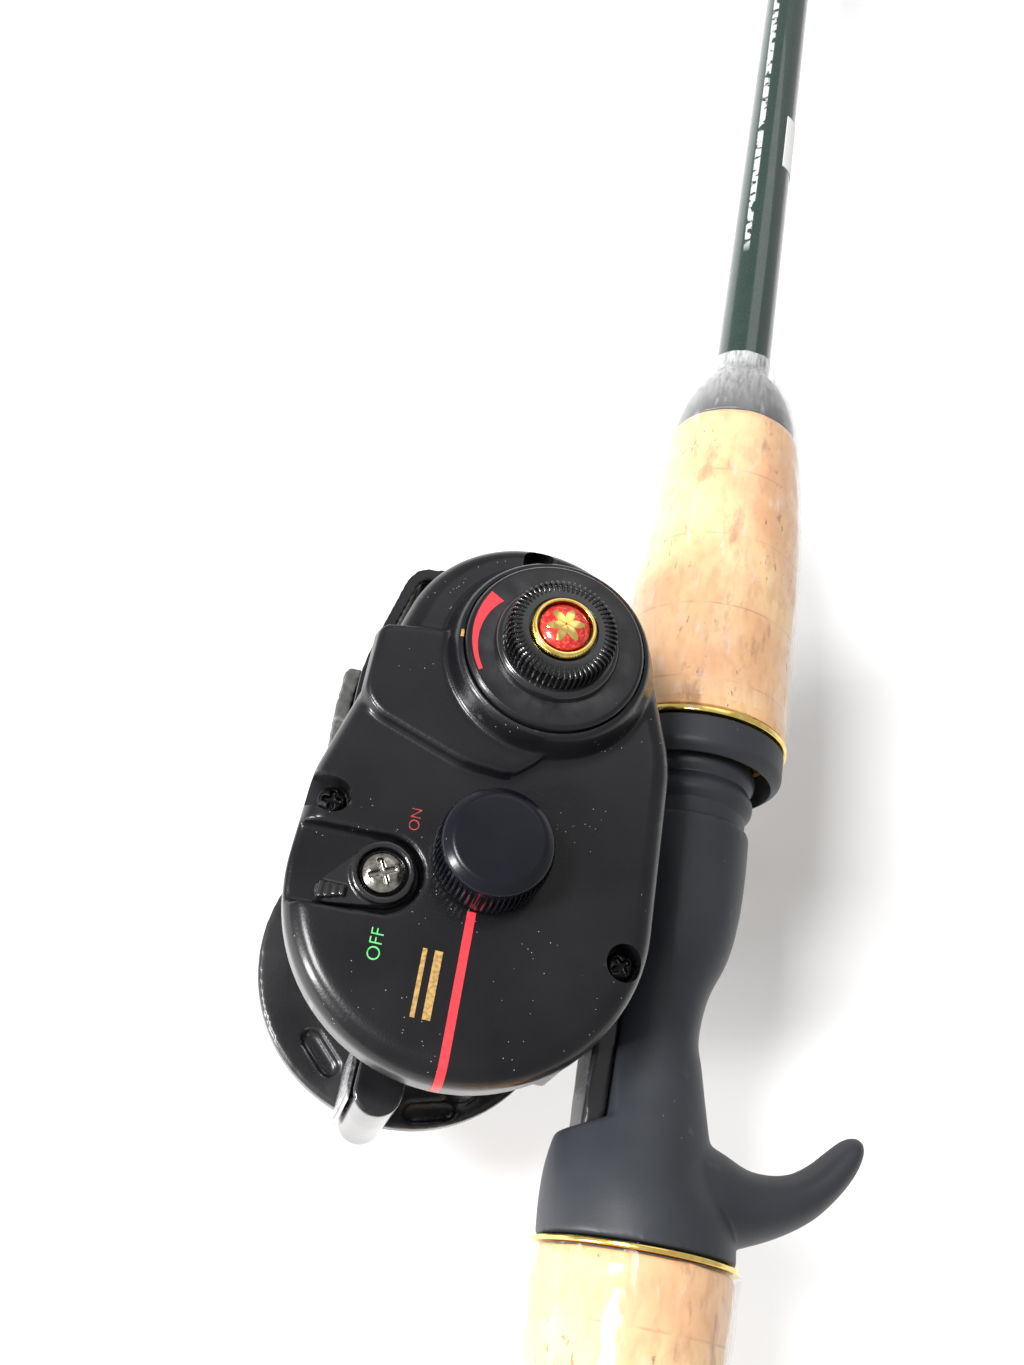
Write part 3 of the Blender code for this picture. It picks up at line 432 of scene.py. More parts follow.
def cork_skin():
    """Cork: rings 12.7 mm thick, each of its own tone, with dark bark pores, under glossy film."""
    made, tree, shader = finish("cork", Coat_Roughness=0.06, Coat_IOR=1.5)
    place = place_on(tree)
    y = node(tree, "SeparateXYZ", {0: place}).outputs["Y"]
    turn = reckon(tree, "DIVIDE", reckon(tree, "ADD", y, 200 * MM), RING_DEEP * MM)
    ring = reckon(tree, "FLOOR", turn)
    own = node(tree, "TexWhiteNoise", {"W": ring}, noise_dimensions="1D").outputs["Value"]
    seam = between(tree, reckon(tree, "PINGPONG", turn, 0.5), 0.0, 0.018, 1.0, 0.0)
    seam = reckon(tree, "MULTIPLY", seam, between(tree, clouds(tree, 4), 0.4, 0.6))
    tone = tint(tree, between(tree, clouds(tree, 11, 4.0), 0.35, 0.65), (0.74, 0.4, 0.18),
                (0.9, 0.62, 0.31))
    tone = tint(tree, reckon(tree, "MULTIPLY", own, 0.4), tone, (0.74, 0.34, 0.15))
    mottle = between(tree, clouds(tree, 1.3, 6.0, (1.0, 0.4, 1.0), 0.6), 0.47, 0.72)
    tone = tint(tree, reckon(tree, "MULTIPLY", mottle, 0.6), tone, (0.58, 0.27, 0.12))
    bark = between(tree, clouds(tree, 4.2, 7.0, (0.8, 0.3, 0.8), 0.68), 0.58, 0.68)
    pores = between(tree, clouds(tree, 0.8, 3.0, (1.0, 0.5, 1.0)), 0.63, 0.68)
    pore = reckon(tree, "MAXIMUM", reckon(tree, "MULTIPLY", bark, 0.6),
                  reckon(tree, "MULTIPLY", pores, between(tree, clouds(tree, 8), 0.5, 0.62, 0.0, 0.8)))
    tone = tint(tree, reckon(tree, "MAXIMUM", pore, reckon(tree, "MULTIPLY", seam, 0.5)), tone,
                (0.25, 0.11, 0.05))
    dressed(tree, shader, tone, between(tree, pore, 0.0, 1.0, 0.55, 0.85))
    tree.links.new(between(tree, clouds(tree, 5, 3.0), 0.35, 0.55, 0.5, 1.0), shader.inputs["Coat Weight"])
    ripples = clouds(tree, 6, 2.0, (1.0, 0.25, 1.0))
    dents = reckon(tree, "SUBTRACT", ripples, reckon(tree, "MULTIPLY", pore, 0.3))
    bumped(tree, shader, dents, 0.5, 0.35)
    return made


def film_skin():
    """Clear wrapping film: almost unseen and whiter where it is gathered; its creases are whiter, partly as
    real creasing and partly as painted highlight, and its edge-on whiteness is painted reflection.
    """
    made, tree, shader = finish("clear_film", Roughness=0.1, IOR=1.45)
    # Creases: whiter and less clear, partly real creasing and partly painted highlight.
    crease = between(tree, clouds(tree, 2.2, 4.0, (1.0, 0.3, 1.0), 0.6), 0.58, 0.72)
    y = node(tree, "SeparateXYZ", {0: place_on(tree)}).outputs["Y"]
    gathered = reckon(tree, "MULTIPLY", between(tree, y, 131 * MM, 147 * MM, 0.0, 0.34),
                      between(tree, clouds(tree, 1.2, 4.0, (2.0, 0.4, 2.0)), 0.35, 0.6, 0.25, 1.0))
    # Painted reflection: the film turns whiter and more opaque where it is seen edge on.
    edge = node(tree, "LayerWeight", {"Blend": 0.25}).outputs["Facing"]
    rim = reckon(tree, "MULTIPLY", reckon(tree, "POWER", edge, 3.0), 0.45)
    cover = reckon(tree, "ADD", reckon(tree, "MULTIPLY", crease, 0.14), gathered)
    cover = node(tree, "Math", {0: reckon(tree, "ADD", cover, rim), 1: 0.03}, operation="ADD",
                 use_clamp=True).outputs[0]
    tree.links.new(cover, shader.inputs["Alpha"])
    tree.links.new(tint(tree, crease, (0.9, 0.9, 0.9), (1.0, 1.0, 1.0)), shader.inputs["Base Color"])
    bumped(tree, shader, clouds(tree, 1.6, 4.0, (1.0, 0.3, 1.0)), 0.8, 0.3)
    return made


def metal(name, deep, bright, rough, size=1.2, stretch=(1.0, 1.0, 1.0), bump=0.15):
    """A drawn, turned or plated metal with handling marks."""
    made, tree, shader = finish(name, Metallic=1.0)
    marks = clouds(tree, size, 5.0, stretch)
    dressed(tree, shader, tint(tree, between(tree, marks, 0.3, 0.7), deep, bright),
            between(tree, clouds(tree, size * 0.4, 4.0, stretch), 0.3, 0.7, rough - 0.05, rough + 0.1))
    bumped(tree, shader, marks, bump, 0.03)
    return made


CORK, FILM = cork_skin(), film_skin()
GOLD = metal("gold_plate", (0.85, 0.58, 0.12), (1.0, 0.8, 0.28), 0.16)
RUBBER = moulding("black_rubber", (0.018, 0.018, 0.019), (0.035, 0.035, 0.036), 0.62, 0.35, 0.5, dust=0.6)
TURNED = {"axis": "Y", "steps": 128}


def even(profile, gap=1.5):
    """Adds points to a profile so that none is further than gap from the next."""
    made = []
    for a, b in zip(profile, profile[1:]):
        count = max(1, int(hypot(b[0] - a[0], b[1] - a[1]) / gap))
        made += [(a[0] + (b[0] - a[0]) * i / count, a[1] + (b[1] - a[1]) * i / count) for i in range(count)]
    return made + [profile[-1]]


def smooth_line(points, count=8):
    """A smooth curve through points of any dimension."""
    line = [Vector(p) for p in points]
    line = [line[0] * 2 - line[1]] + line + [line[-1] * 2 - line[-2]]
    made = []
    for i in range(1, len(line) - 2):
        a, b, c, d = line[i - 1:i + 3]
        for k in range(count):
            t = k / count
            made.append((b * 2 + (c - a) * t + (a * 2 - b * 5 + c * 4 - d) * t ** 2
                         + (b * 3 - a - c * 3 + d) * t ** 3) / 2)
    return made + [line[-2]]


rear_line = [tuple(p) for p in smooth_line([(13.4, -1.1), (13.05, -20), (13.2, -60), (14.0, -105),
                                            (13.7, CORK_REAR)], 20)]
rear_cork = soften([(5.4, -1.1), (13.0, -1.1, 0.4)] + rear_line[1:-1] + [(13.7, CORK_REAR, 0.3),
                                                                         (5.4, CORK_REAR)], 0.0)
piece("rear_grip", wobbled(lathe(even(rear_cork), bored=True, **TURNED), 3, 0.14), CORK, "rod")
fore_line = [tuple(p) for p in smooth_line([(10.7, CORK_FRONT), (11.9, 120), (12.8, 107), (13.1, 92),
                                            (13.3, 74.9)], 14)]
fore_cork = soften([(5.3, CORK_FRONT), (10.5, CORK_FRONT, 0.5)] + fore_line[1:] + [(12.9, 74.7),
                                                                                   (BORE, 74.7), (BORE, 81),
                                                                                   (5.6, 83)], 0.0)
piece("fore_grip", wobbled(lathe(even(fore_cork), bored=True, **TURNED), 3, 0.14), CORK, "fore_grip")


def film(side):
    """A thin tube that stands loose over the cork, its outer side given top to bottom."""
    inner = [(r - FILM_THICK, y) for r, y in reversed(side)]
    return wobbled(lathe(even(side, 0.8) + even(inner, 0.8), bored=True, **TURNED), 2.6, 0.3, True)


over_rear = [(r + 0.42 + 0.25 * max(0, 1 + (y + 1) / 9), y) for r, y in rear_line if y > -128.5]
piece("rear_grip_film", film(over_rear), FILM, "rod")
over_fore = [(5.65, 147.0), (5.75, 145.2), (5.95, 144.2), (7.5, 141.9), (9.2, 138.4), (10.3, 134.6),
             (10.9, 131.4)]
over_fore += [(r + 0.45, y) for r, y in fore_line if 76 < y < 130]
piece("fore_grip_film", film(over_fore), FILM, "fore_grip")

check = soften([(5.3, 131.1), (10.2, 131.1, 0.4), (9.85, 134.4), (8.6, 138.4, 1.5), (6.9, 141.8, 1.0),
                (5.55, 143.6, 0.5),
                (5.1, CHECK_FRONT)], 1.0)
CHECK_SKIN = moulding("check_rubber", (0.05, 0.052, 0.055), (0.1, 0.1, 0.105), 0.4, 0.3, 0.4,
                      Coat_Weight=0.6,
                      Coat_Roughness=0.15)
piece("winding_check", wobbled(lathe(even(check, 0.7), bored=True, **TURNED), 2, 0.1), CHECK_SKIN,
      "fore_grip")
for name, top, low, radius, body in (("rear_trim_ring", -0.1, -0.8, 13.8, "rod"),
                                     ("fore_trim_ring", 74.4, 73.5, 13.7, "fore_grip")):
    band = soften([(BORE, top), (radius, top, 0.25), (radius, low, 0.25), (BORE, low)], 0.0)
    piece(name, lathe(band, bored=True, **TURNED), GOLD, body)
cap = soften([(0, -131.3), (14.5, -131.3, 0.3), (14.8, -133.0, 0.8), (14.6, -136.8, 1.2), (13.1, BUTT, 1.0),
              (0, BUTT)], 0.5)
piece("butt_cap", lathe(even(cap, 0.9), **TURNED), RUBBER, "rod")
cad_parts["rear_core"].data.materials[0] = metal("tube_alloy", (0.5, 0.5, 0.52), (0.62, 0.62, 0.64),
                                                      0.3)


# ---- Reel seat: one moulding of charcoal nylon, drawn in behind the threaded barrel, whose trigger
# curls towards the tip; the reel's foot lies in the channel cut along its top.
FOOT_TOP, FOOT_UNDER, FOOT_REAR, FOOT_FRONT = -10.3, -7.3, 11.0, 73.0
THREAD_START, SEAT_FRONT = 59.7, 80.0


def wrap(circles, inset=0.0, count=128):
    """The band around a set of circles: its furthest point in each direction."""
    shape = []
    for i in range(count):
        way = 2 * pi * i / count
        best = max(circles, key=lambda c: c[0][0] * cos(way) + c[0][1] * sin(way) + c[1])
        (x, y), radius = best
        shape.append((x + (radius - inset) * cos(way), y + (radius - inset) * sin(way)))
    return shape


def prism(shape, low, high):
    return stack([[(x, y, z) for x, y in shape] for z in (low, high)])


def disc(radius, low, high, at, axis="Z", steps=48):
    return lathe([(0, high), (radius, high), (radius, low), (0, low)], at, axis, steps)


def block(low, high):
    return prism([(low[0], low[1]), (high[0], low[1]), (high[0], high[1]), (low[0], high[1])], low[2],
                 high[2])


def settled(made):
    """The object's mesh with its modifiers in it; the object itself is removed."""
    graph = bpy.context.evaluated_depsgraph_get()
    mesh = bpy.data.meshes.new_from_object(made.evaluated_get(graph))
    bpy.data.objects.remove(made, do_unlink=True)
    return mesh


def combined(base, joins=(), cuts=()):
    """One solid from a base, what joins it and what is cut from it."""
    made = put("working", base)
    tools = []
    for kind, meshes in (("UNION", joins), ("DIFFERENCE", cuts)):
        for mesh in meshes:
            tools.append(put("working", mesh))
            step = made.modifiers.new(kind, "BOOLEAN")
            step.operation = kind
            step.solver = "EXACT"
            step.object = tools[-1]
    mesh = settled(made)
    for tool in tools:
        bpy.data.objects.remove(tool, do_unlink=True)
    return mesh


def moulded(base, joins=(), cuts=(), voxel=0.45, passes=6):
    """A combined solid given the one soft-edged skin of a moulding."""
    made = put("working", combined(base, joins, cuts))
    skin = made.modifiers.new("skin", "REMESH")
    skin.mode = "VOXEL"
    skin.voxel_size = voxel * MM
    relax = made.modifiers.new("relax", "SMOOTH")
    relax.factor = 0.5
    relax.iterations = passes
    return settled(made)


def seat_section(y, left, right, depth, count=64):
    """An oval across the seat: its left and right ends in X and its half depth in Z."""
    middle, half = (left + right) / 2, (right - left) / 2
    return [(middle + half * cos(2 * pi * i / count), y, depth * sin(2 * pi * i / count))
            for i in range(count)]


def smooth_loft(rows, count=5):
    """A loft whose every line along it is a smooth curve through the rows."""
    lines = [smooth_line([row[i] for row in rows], count) for i in range(len(rows[0]))]
    return stack([list(layer) for layer in zip(*lines)])


def trigger_rows():
    """The trigger's sections: ((x, y) of its middle, lean in degrees, half thickness, half width)."""
    stations = [((6.0, 8.6), 0, 7.6, 8.4), ((10.0, 8.2), 0, 6.6, 7.6), ((14.2, 8.4), 8, 5.0, 6.6),
                ((18.2, 9.4), 18, 4.0, 5.8), ((21.9, 11.2), 31, 3.3, 5.2), ((24.9, 13.8), 43, 2.8, 4.7),
                ((27.2, 16.6), 53, 2.4, 4.2), ((28.7, 18.9), 58, 1.75, 3.4), ((29.4, 20.1), 58, 0.9, 2.0)]
    rows = []
    for (x, y), lean, half, width in stations:
        side = radians(lean + 90)
        spread = [2 * pi * i / 32 for i in range(32)]
        rows.append([(x + half * cos(w) * cos(side), y + half * cos(w) * sin(side), width * sin(w))
                     for w in spread])
    return rows


def foot_plan(grow=0.0):
    return wrap([((FOOT_REAR + 4.6, 0), 4.6 + grow), ((FOOT_FRONT - 4.6, 0), 4.6 + grow),
                 ((34.0, 0), 6.2 + grow), ((50.0, 0), 6.2 + grow)], count=64)


def foot_slab(grow, low, high):
    return stack([[(x, y, z) for y, z in foot_plan(grow)] for x in (low, high)])


SEAT_SIZES = [(0.2, -13.3, 13.3, 13.3), (5.0, -13.6, 12.6, 12.8), (10.0, -13.4, 9.6, 11.4),
              (15.5, -12.2, 8.2, 9.8),
              (20.0, -10.6, 7.2, 8.4), (25.0, -9.0, 6.1, 7.4), (29.0, -8.2, 5.2, 7.0),
              (35.0, -8.0, 5.9, 7.4),
              (41.0, -8.2, 8.1, 8.5), (47.0, -8.8, 9.1, 9.2), (54.0, -9.4, 9.4, 9.5),
              (THREAD_START, -9.5, 9.3, 9.5)]
seat_rows = [seat_section(*sizes) for sizes in SEAT_SIZES]
mouth = stack([[(-30, y, z) for y, z in ((6.5, -20), (90, -20), (90, 20), (6.5, 20))],
               [(FOOT_UNDER + 0.3, y, z) for y, z in ((15.6, -20), (90, -20), (90, 20), (15.6, 20))]])
seat_mesh = moulded(smooth_loft(seat_rows), [smooth_loft(trigger_rows())],
                    [mouth, foot_slab(0.3, FOOT_TOP - 0.3, FOOT_UNDER + 0.3), disc(5.5, 61.7, 90, (0, 0, 0),
                                                                                   "Y"),
                     disc(5.3, -5, 9.3, (0, 0, 0), "Y")], 0.42, 9)
# Its convex edges are lighter: partly rubbed wear, partly a painted edge highlight.
SEAT = moulding("seat_nylon", (0.02, 0.0225, 0.028), (0.03, 0.033, 0.04), 0.47, 0.3, 0.25, dust=0.66,
                edge_wear_and_highlight=0.35,
                rub_tone=(0.08, 0.084, 0.092), Specular_IOR_Level=0.4)
piece("seat_body", seat_mesh, SEAT, "rod", crease=180)

ridges = [(5.5, SEAT_FRONT), (8.5, SEAT_FRONT, 0.4)]
for start in (THREAD_START + 10.4, THREAD_START + 6.4):
    ridges += [(8.6, start), (9.4, start - 1.2), (9.4, start - 2.6), (8.6, start - 3.8)]
ridges += [(8.5, THREAD_START + 2.4), (8.5, THREAD_START - 1), (5.5, THREAD_START - 1)]
piece("seat_barrel", lathe(even(soften(ridges, 0.6), 0.8), bored=True, **TURNED), SEAT, "rod")
hood = soften([(11.8, 73.2), (13.3, 73.2, 0.3), (13.3, 68.9, 2.0), (12.0, 67.8, 1.0), (11.8, 67.8)], 0.0,
              steps=8)
piece("fore_hood", lathe(even(hood, 0.6), bored=True, **TURNED), SEAT, "hood")


# ---- Guides and tip: bent and soldered steel wire that holds ceramic rings, lashed down with green
# winding thread under epoxy; the tip top is a tube glued over the blank's end.
def wire(points, radius, sides=10):
    """A round wire along points, closed at both ends."""
    line = [Vector(p) for p in points]
    layers = []
    for i, spot in enumerate(line):
        ahead = (line[min(i + 1, len(line) - 1)] - line[max(i - 1, 0)]).normalized()
        side = ahead.cross(Vector((0, 0, 1)) if abs(ahead.z) < 0.9 else Vector((1, 0, 0))).normalized()
        over = ahead.cross(side)
        layers.append([spot + (side * cos(2 * pi * k / sides) + over * sin(2 * pi * k / sides)) * radius
                       for k in range(sides)])
    return stack(layers)


def ring(major, minor, at, steps=72, sides=14):
    return lathe([(major + minor * cos(2 * pi * i / sides), minor * sin(2 * pi * i / sides))
                  for i in range(sides)],
                 at, "Y", steps, True)


def bend(start, middle, end, count=7):
    a, b, c = Vector(start), Vector(middle), Vector(end)
    return [a * (1 - t) ** 2 + b * 2 * t * (1 - t) + c * t * t for t in [i / (count - 1)
                                                                         for i in range(count)]]


def open_tree(name, base, sizes, result):
    """Starts a geometry node tree: its base geometry, its named sizes, then its material."""
    tree = bpy.data.node_groups.new(name, "GeometryNodeTree")
    for label, kind in ((base, "Geometry"),) + sizes + (("Finish", "Material"),):
        tree.interface.new_socket(label, in_out="INPUT", socket_type="NodeSocket" + kind)
    tree.interface.new_socket(result, in_out="OUTPUT", socket_type="NodeSocketGeometry")
    return tree, tree.nodes.new("NodeGroupInput").outputs


def stood(tree, points, shape, **lay):
    """Stands a shape at each point and makes the copies real."""
    laid = node(tree, "GeometryNodeInstanceOnPoints", {"Points": points, "Instance": shape, **lay})
    return node(tree, "GeometryNodeRealizeInstances",
                {"Geometry": laid.outputs["Instances"]}).outputs["Geometry"]


def close_tree(tree, given, geometry):
    """Ends a geometry node tree: the material is set and the result put out."""
    skinned = node(tree, "GeometryNodeSetMaterial", {"Geometry": geometry, "Material": given["Finish"]})
    tree.links.new(skinned.outputs["Geometry"], tree.nodes.new("NodeGroupOutput").inputs[0])
    return tree


def winding_tree():
    """Geometry nodes: one closed turn of thread, repeated side by side along the rod."""
    tree, given = open_tree("thread_winding", "Turn", (("Turns", "Int"), ("Pitch", "Float"),
                                                       ("Thread Radius", "Float")),
                            "Winding")
    path = node(tree, "GeometryNodeMeshToCurve", {"Mesh": given["Turn"]}).outputs["Curve"]
    section = node(tree, "GeometryNodeCurvePrimitiveCircle",
                   {"Resolution": 6, "Radius": given["Thread Radius"]})
    turn = node(tree, "GeometryNodeCurveToMesh", {"Curve": path, "Profile Curve": section.outputs["Curve"]})
    step = node(tree, "CombineXYZ", {"Y": given["Pitch"]}).outputs["Vector"]
    line = node(tree, "GeometryNodeMeshLine", {"Count": given["Turns"], "Offset": step})
    return close_tree(tree, given, stood(tree, line.outputs["Mesh"], turn.outputs["Mesh"]))


def grown(mesh, tree, **values):
    """Runs a geometry node tree on a mesh and gives back the plain mesh that it makes."""
    made = put("working", mesh)
    growth = made.modifiers.new("growth", "NODES")
    growth.node_group = tree
    for item in tree.interface.items_tree:
        if item.in_out == "INPUT" and item.name.replace(" ", "_") in values:
            growth[item.identifier] = values[item.name.replace(" ", "_")]
    made.update_tag()
    form = bmesh.new()
    form.from_mesh(settled(made))
    bmesh.ops.remove_doubles(form, verts=form.verts, dist=0.0000005)
    bmesh.ops.recalc_face_normals(form, faces=form.faces)
    plain = bpy.data.meshes.new("grown")
    form.to_mesh(plain)
    form.free()
    return plain


def loop(points):
    """A closed line as a mesh of edges."""
    mesh = bpy.data.meshes.new("loop")
    mesh.from_pydata([Vector(p) * MM for p in points], [(i, (i + 1) % len(points))
                                                        for i in range(len(points))], [])
    return mesh


STEEL = metal("polished_steel", (0.56, 0.55, 0.53), (0.7, 0.69, 0.67), 0.2, bump=0.06)
CERAMIC = moulding("ceramic", (0.03, 0.03, 0.033), (0.06, 0.06, 0.065), 0.12, 0.4, 0.05, Coat_Weight=0.5)
THREAD = moulding("winding_thread", (0.006, 0.03, 0.022), (0.012, 0.05, 0.036), 0.3, 0.12, 0.4,
                  Coat_Weight=0.8,
                  Coat_Roughness=0.08)
WINDING = winding_tree()
WIRE_R, THREAD_R, RIM_R = 0.75, 0.22, 0.8
WRAP_TURNS, WRAP_PITCH, WRAP_FROM_EYE = 30, 0.43, 19.0
GUIDES = ((330, 6.0), (470, 5.0), (620, 4.2))    # each guide's place along the rod and its eye's radius
for number, (station, eye) in enumerate(GUIDES, start=1):
    deck = -(blank_radius(station) + 0.3 + WIRE_R)
    middle = deck - eye - 5.0
    foot = [(deck, station + 24, 0), (deck, station + 14, 0)]
    leg = foot + bend((deck, station + 12, 0), (deck, station + 6, 0), (middle + eye + 1.7, station, 0))
    other = [(p[0], 2 * station - p[1], p[2]) for p in leg]
    guide = moulded(ring(eye + 1.7, RIM_R, (middle, station, 0)), [wire(leg, WIRE_R), wire(other, WIRE_R)],
                    (), 0.2, 2)
    piece(f"guide_frame_{number}", guide, STEEL, "rod", crease=180)
    lining = soften([(eye + 0.6, 0.9), (eye + 0.6, -0.9), (eye, -0.9), (eye, 0.9)], 0.3, True)
    piece(f"guide_ring_{number}", lathe(lining, (middle, station, 0), "Y", 72, True), CERAMIC, "rod")
    for end, side in (("a", 1), ("b", -1)):
        centre = station + side * WRAP_FROM_EYE
        reach = blank_radius(centre - 6)
        plan = wrap([((0, 0), reach + 0.58), ((deck, 0), WIRE_R + 0.5)], count=44)
        turn = loop([(x, centre - 6.25, z) for x, z in plan])
        lashing = grown(turn, WINDING, Turns=WRAP_TURNS, Pitch=WRAP_PITCH * MM, Thread_Radius=THREAD_R * MM,
                        Finish=THREAD)
        piece(f"guide_wrap_{number}{end}", lashing, THREAD, "rod", crease=180)

TIP_RING, TUBE_R = 3.1, 2.0
tip_x, tip_y = -(TIP_RING + 3.0), TIP - 0.4
socket = soften([(0, TIP), (TUBE_R, TIP, 0.5), (TUBE_R, TIP - 14, 0.2), (1.5, TIP - 14), (1.4, TIP - 1.7),
                 (0, TIP - 1.7)], 0.0)
braces = [wire([(-TUBE_R - 0.1, TIP - 11, 0.1 * way), (tip_x + 1.2, tip_y - 0.3, way * (TIP_RING + 1.5))],
               0.55)
          for way in (-1, 1)]
tip_mesh = moulded(lathe(socket, axis="Y"), [ring(TIP_RING + 1.7, RIM_R, (tip_x, tip_y, 0))] + braces, (),
                   0.2, 2)
piece("tip_top", tip_mesh, STEEL, "rod", crease=180)
lining = soften([(TIP_RING + 0.6, 0.9), (TIP_RING + 0.6, -0.9), (TIP_RING, -0.9), (TIP_RING, 0.9)], 0.3,
                True)
piece("tip_ring", lathe(lining, (tip_x, tip_y, 0), "Y", 72, True), CERAMIC, "rod")


# ---- Reel frame and crank-side cover: two rings cast in one piece with a saddle bar, its foot and
# two posts, and a dished cover over the gears, all in satin black paint.
PLATE_CIRCLES = [((-32.4, 34.4), 23.2), ((-28.0, 55.0), 18.4), ((-40.0, 44.0), 15.2), ((-31.1, 68.0), 17.3)]
FAR_CIRCLES = [((-34.8, 34.6), 22.9)] + PLATE_CIRCLES[1:]
SPOOL_AT, DIAL_AT, FLIP_AT, CRANK_AT = (-31.4, 39.1), (-28.4, 67.8), (-43.9, 34.5), (-28.5, 52.6)
SCREW_SPOTS = [(-52.0, 43.0), (-12.6, 30.0), (-31.9, 82.2)]
FRAME_HALF, RING_T, PLATE_INNER, PLATE_OUTER, FAR_OUTER, LIP = 17.9, 3.3, 18.2, 28.0, 30.0, 2.8
RIM_ROUND, STRIPE_X = 3.0, -32.3
WORM_AT, ROD_AT = (-36.65, 65.49), (-35.65, 73.99)

near_ring = prism(wrap(PLATE_CIRCLES, 3.4), FRAME_HALF - RING_T, FRAME_HALF)
far_ring = prism(wrap(FAR_CIRCLES), -FRAME_HALF, RING_T - FRAME_HALF)
saddle = block((-17.6, 22, -16.9), (-12.4, 62, 16.9))
neck = stack([[(-15, y, z) for y, z in wrap([((36, 0), 9.0), ((50, 0), 9.0)], count=48)],
              [(-8.6, y, z) for y, z in wrap([((30, 0), 6.0), ((54, 0), 6.0)], count=48)]])
posts = [disc(2.2, -16.9, 16.9, (x, y, 0)) for x, y in ((-25.0, 19.0), (-21.5, 77.5))]
ears = [disc(2.7, FRAME_HALF - RING_T, FRAME_HALF, (*spot, 0)) for spot in SCREW_SPOTS]
window = disc(17.6, -30, 30, (*SPOOL_AT, 0), steps=96)
passes = [disc(2.4, -30, 30, (*WORM_AT, 0)), disc(1.6, -30, 30, (*ROD_AT, 0)),
          disc(3.1, -30, -10, (*CRANK_AT, 0))]
slots = [prism(wrap([((-39.2, 18.8), 1.6), ((-34.6, 18.8), 1.6)], count=32), low, low + 10)
         for low in (10, -20)]
pockets = [prism(wrap([(a, 1.4), (b, 1.4)], count=32), -15.6, 0)
           for a, b in (((-47.4, 21.6), (-44.0, 18.2)), ((-31.0, 14.4), (-26.2, 15.6)))]
frame_mesh = moulded(near_ring, [far_ring, saddle, neck, foot_slab(0.0, FOOT_TOP,
                                                                   FOOT_UNDER)] + posts + ears,
                     [window] + passes + slots + pockets, 0.42, 4)
# Its convex edges are lighter: partly rubbed wear, partly a painted edge highlight.
SATIN = moulding("satin_black_paint", (0.004, 0.004, 0.0055), (0.008, 0.008, 0.0095), 0.3, 0.3, 0.5,
                 dust=0.57, edge_wear_and_highlight=0.6,
                 rub_tone=(0.06, 0.06, 0.063), Specular_IOR_Level=0.2, Coat_Weight=0.3, Coat_Roughness=0.16)
GLOSS = moulding("gloss_black", (0.005, 0.005, 0.006), (0.01, 0.01, 0.0115), 0.2, 0.5, 0.1, dust=0.6,
                 Coat_Weight=0.3, Coat_Roughness=0.08)
# Its convex edges are lighter: partly rubbed wear, partly a painted edge highlight.
RING_BLACK = moulding("ring_black", (0.012, 0.012, 0.013), (0.02, 0.02, 0.022), 0.27, 0.4, 0.2, dust=0.68,
                      edge_wear_and_highlight=0.5,
                      rub_tone=(0.12, 0.12, 0.125))
piece("reel_frame", frame_mesh, RING_BLACK, "rod", crease=180)

depth = FAR_OUTER - PLATE_INNER
bowl = soften([(0.3, 0.0), (0.5, 0.8), (0.6 * (depth - 2.2), depth - 2.2, 1.2),
               (0.6 * depth + 1.4, depth - 0.5, 1.0),
               (0.6 * depth + 3.0, depth)], 0.3)
inside = [(2.0 + 0.6 * (depth - 3.5), depth - 3.5), (2.0, 0.0)]
far_mesh = stack([[(x, y, -PLATE_INNER - z) for x, y in wrap(FAR_CIRCLES, inset)] for inset,
                  z in inside + bowl])
far_cuts = [disc(radius, low, high, (*spot, 0)) for spot, radius, low, high in
            ((CRANK_AT, 2.9, -40, 0), (SPOOL_AT, 5.1, -28.9, -24), (WORM_AT, 2.2, -28.9, -24))]
piece("side_plate_far", moulded(far_mesh, (), far_cuts, 0.4, 4), SATIN, "rod", crease=180)


# ---- Near side plate: a die-cast cover with a rounded rim, a raised panel that runs into the brake
# dial's ring, a wedge-shaped lever pocket and three screw notches; printed marks lie on its face.
def plate_rows(circles, steps):
    return [[(x, y, z) for x, y in wrap(circles, inset, 192)] for inset, z in steps]


rim = [(LIP, PLATE_INNER), (LIP, PLATE_INNER + LIP - 0.3),
       (LIP - 0.3, PLATE_INNER + LIP), (0.3, PLATE_INNER + LIP), (0.0, PLATE_INNER + LIP + 0.4)]
rim += [(RIM_ROUND * (1 - cos(radians(a))), PLATE_OUTER - RIM_ROUND + RIM_ROUND * sin(radians(a)))
        for a in range(0, 91, 9)]
shell = stack(plate_rows(PLATE_CIRCLES, rim))
panel_base = [(-51.6, 67.5), (-51.8, 57.0), (-49.6, 54.4), (-37.2, 50.0), (-30.6, 49.6), (-27.0, 53.0),
              (-24.0, 62.0),
              (-43.4, 68.8)]
panel = stack([[(x * (1 - 0.03 * t) - 0.9 * t, y * (1 - 0.06 * t) + 3.8 * t, 27.0 + 2.3 * t)
                for x, y in soften(panel_base, 1.6, True, 6)] for t in (0.0, 0.3, 0.6, 0.85, 1.0)])
ring_side = soften([(0, 27.2), (14.6, 27.2), (13.8, 29.4, 0.5), (13.0, 31.6, 0.6), (12.5, 32.4, 0.3),
                    (0, 32.4)], 0.0)
bosses = [disc(radius, 10, 40, (*spot, 0)) for spot, radius in
          [(SPOOL_AT, 6.6), (DIAL_AT, 5.0), (FLIP_AT, 2.6)] + [(spot, 4.0) for spot in SCREW_SPOTS]]
hollow = combined(prism(wrap(PLATE_CIRCLES, LIP + 1.6), PLATE_INNER - 2, 25.0), (), bosses)
wedge = wrap([(FLIP_AT, 5.0), ((-58.0, 30.0), 1.2), ((-58.0, 38.0), 1.2)], count=96)
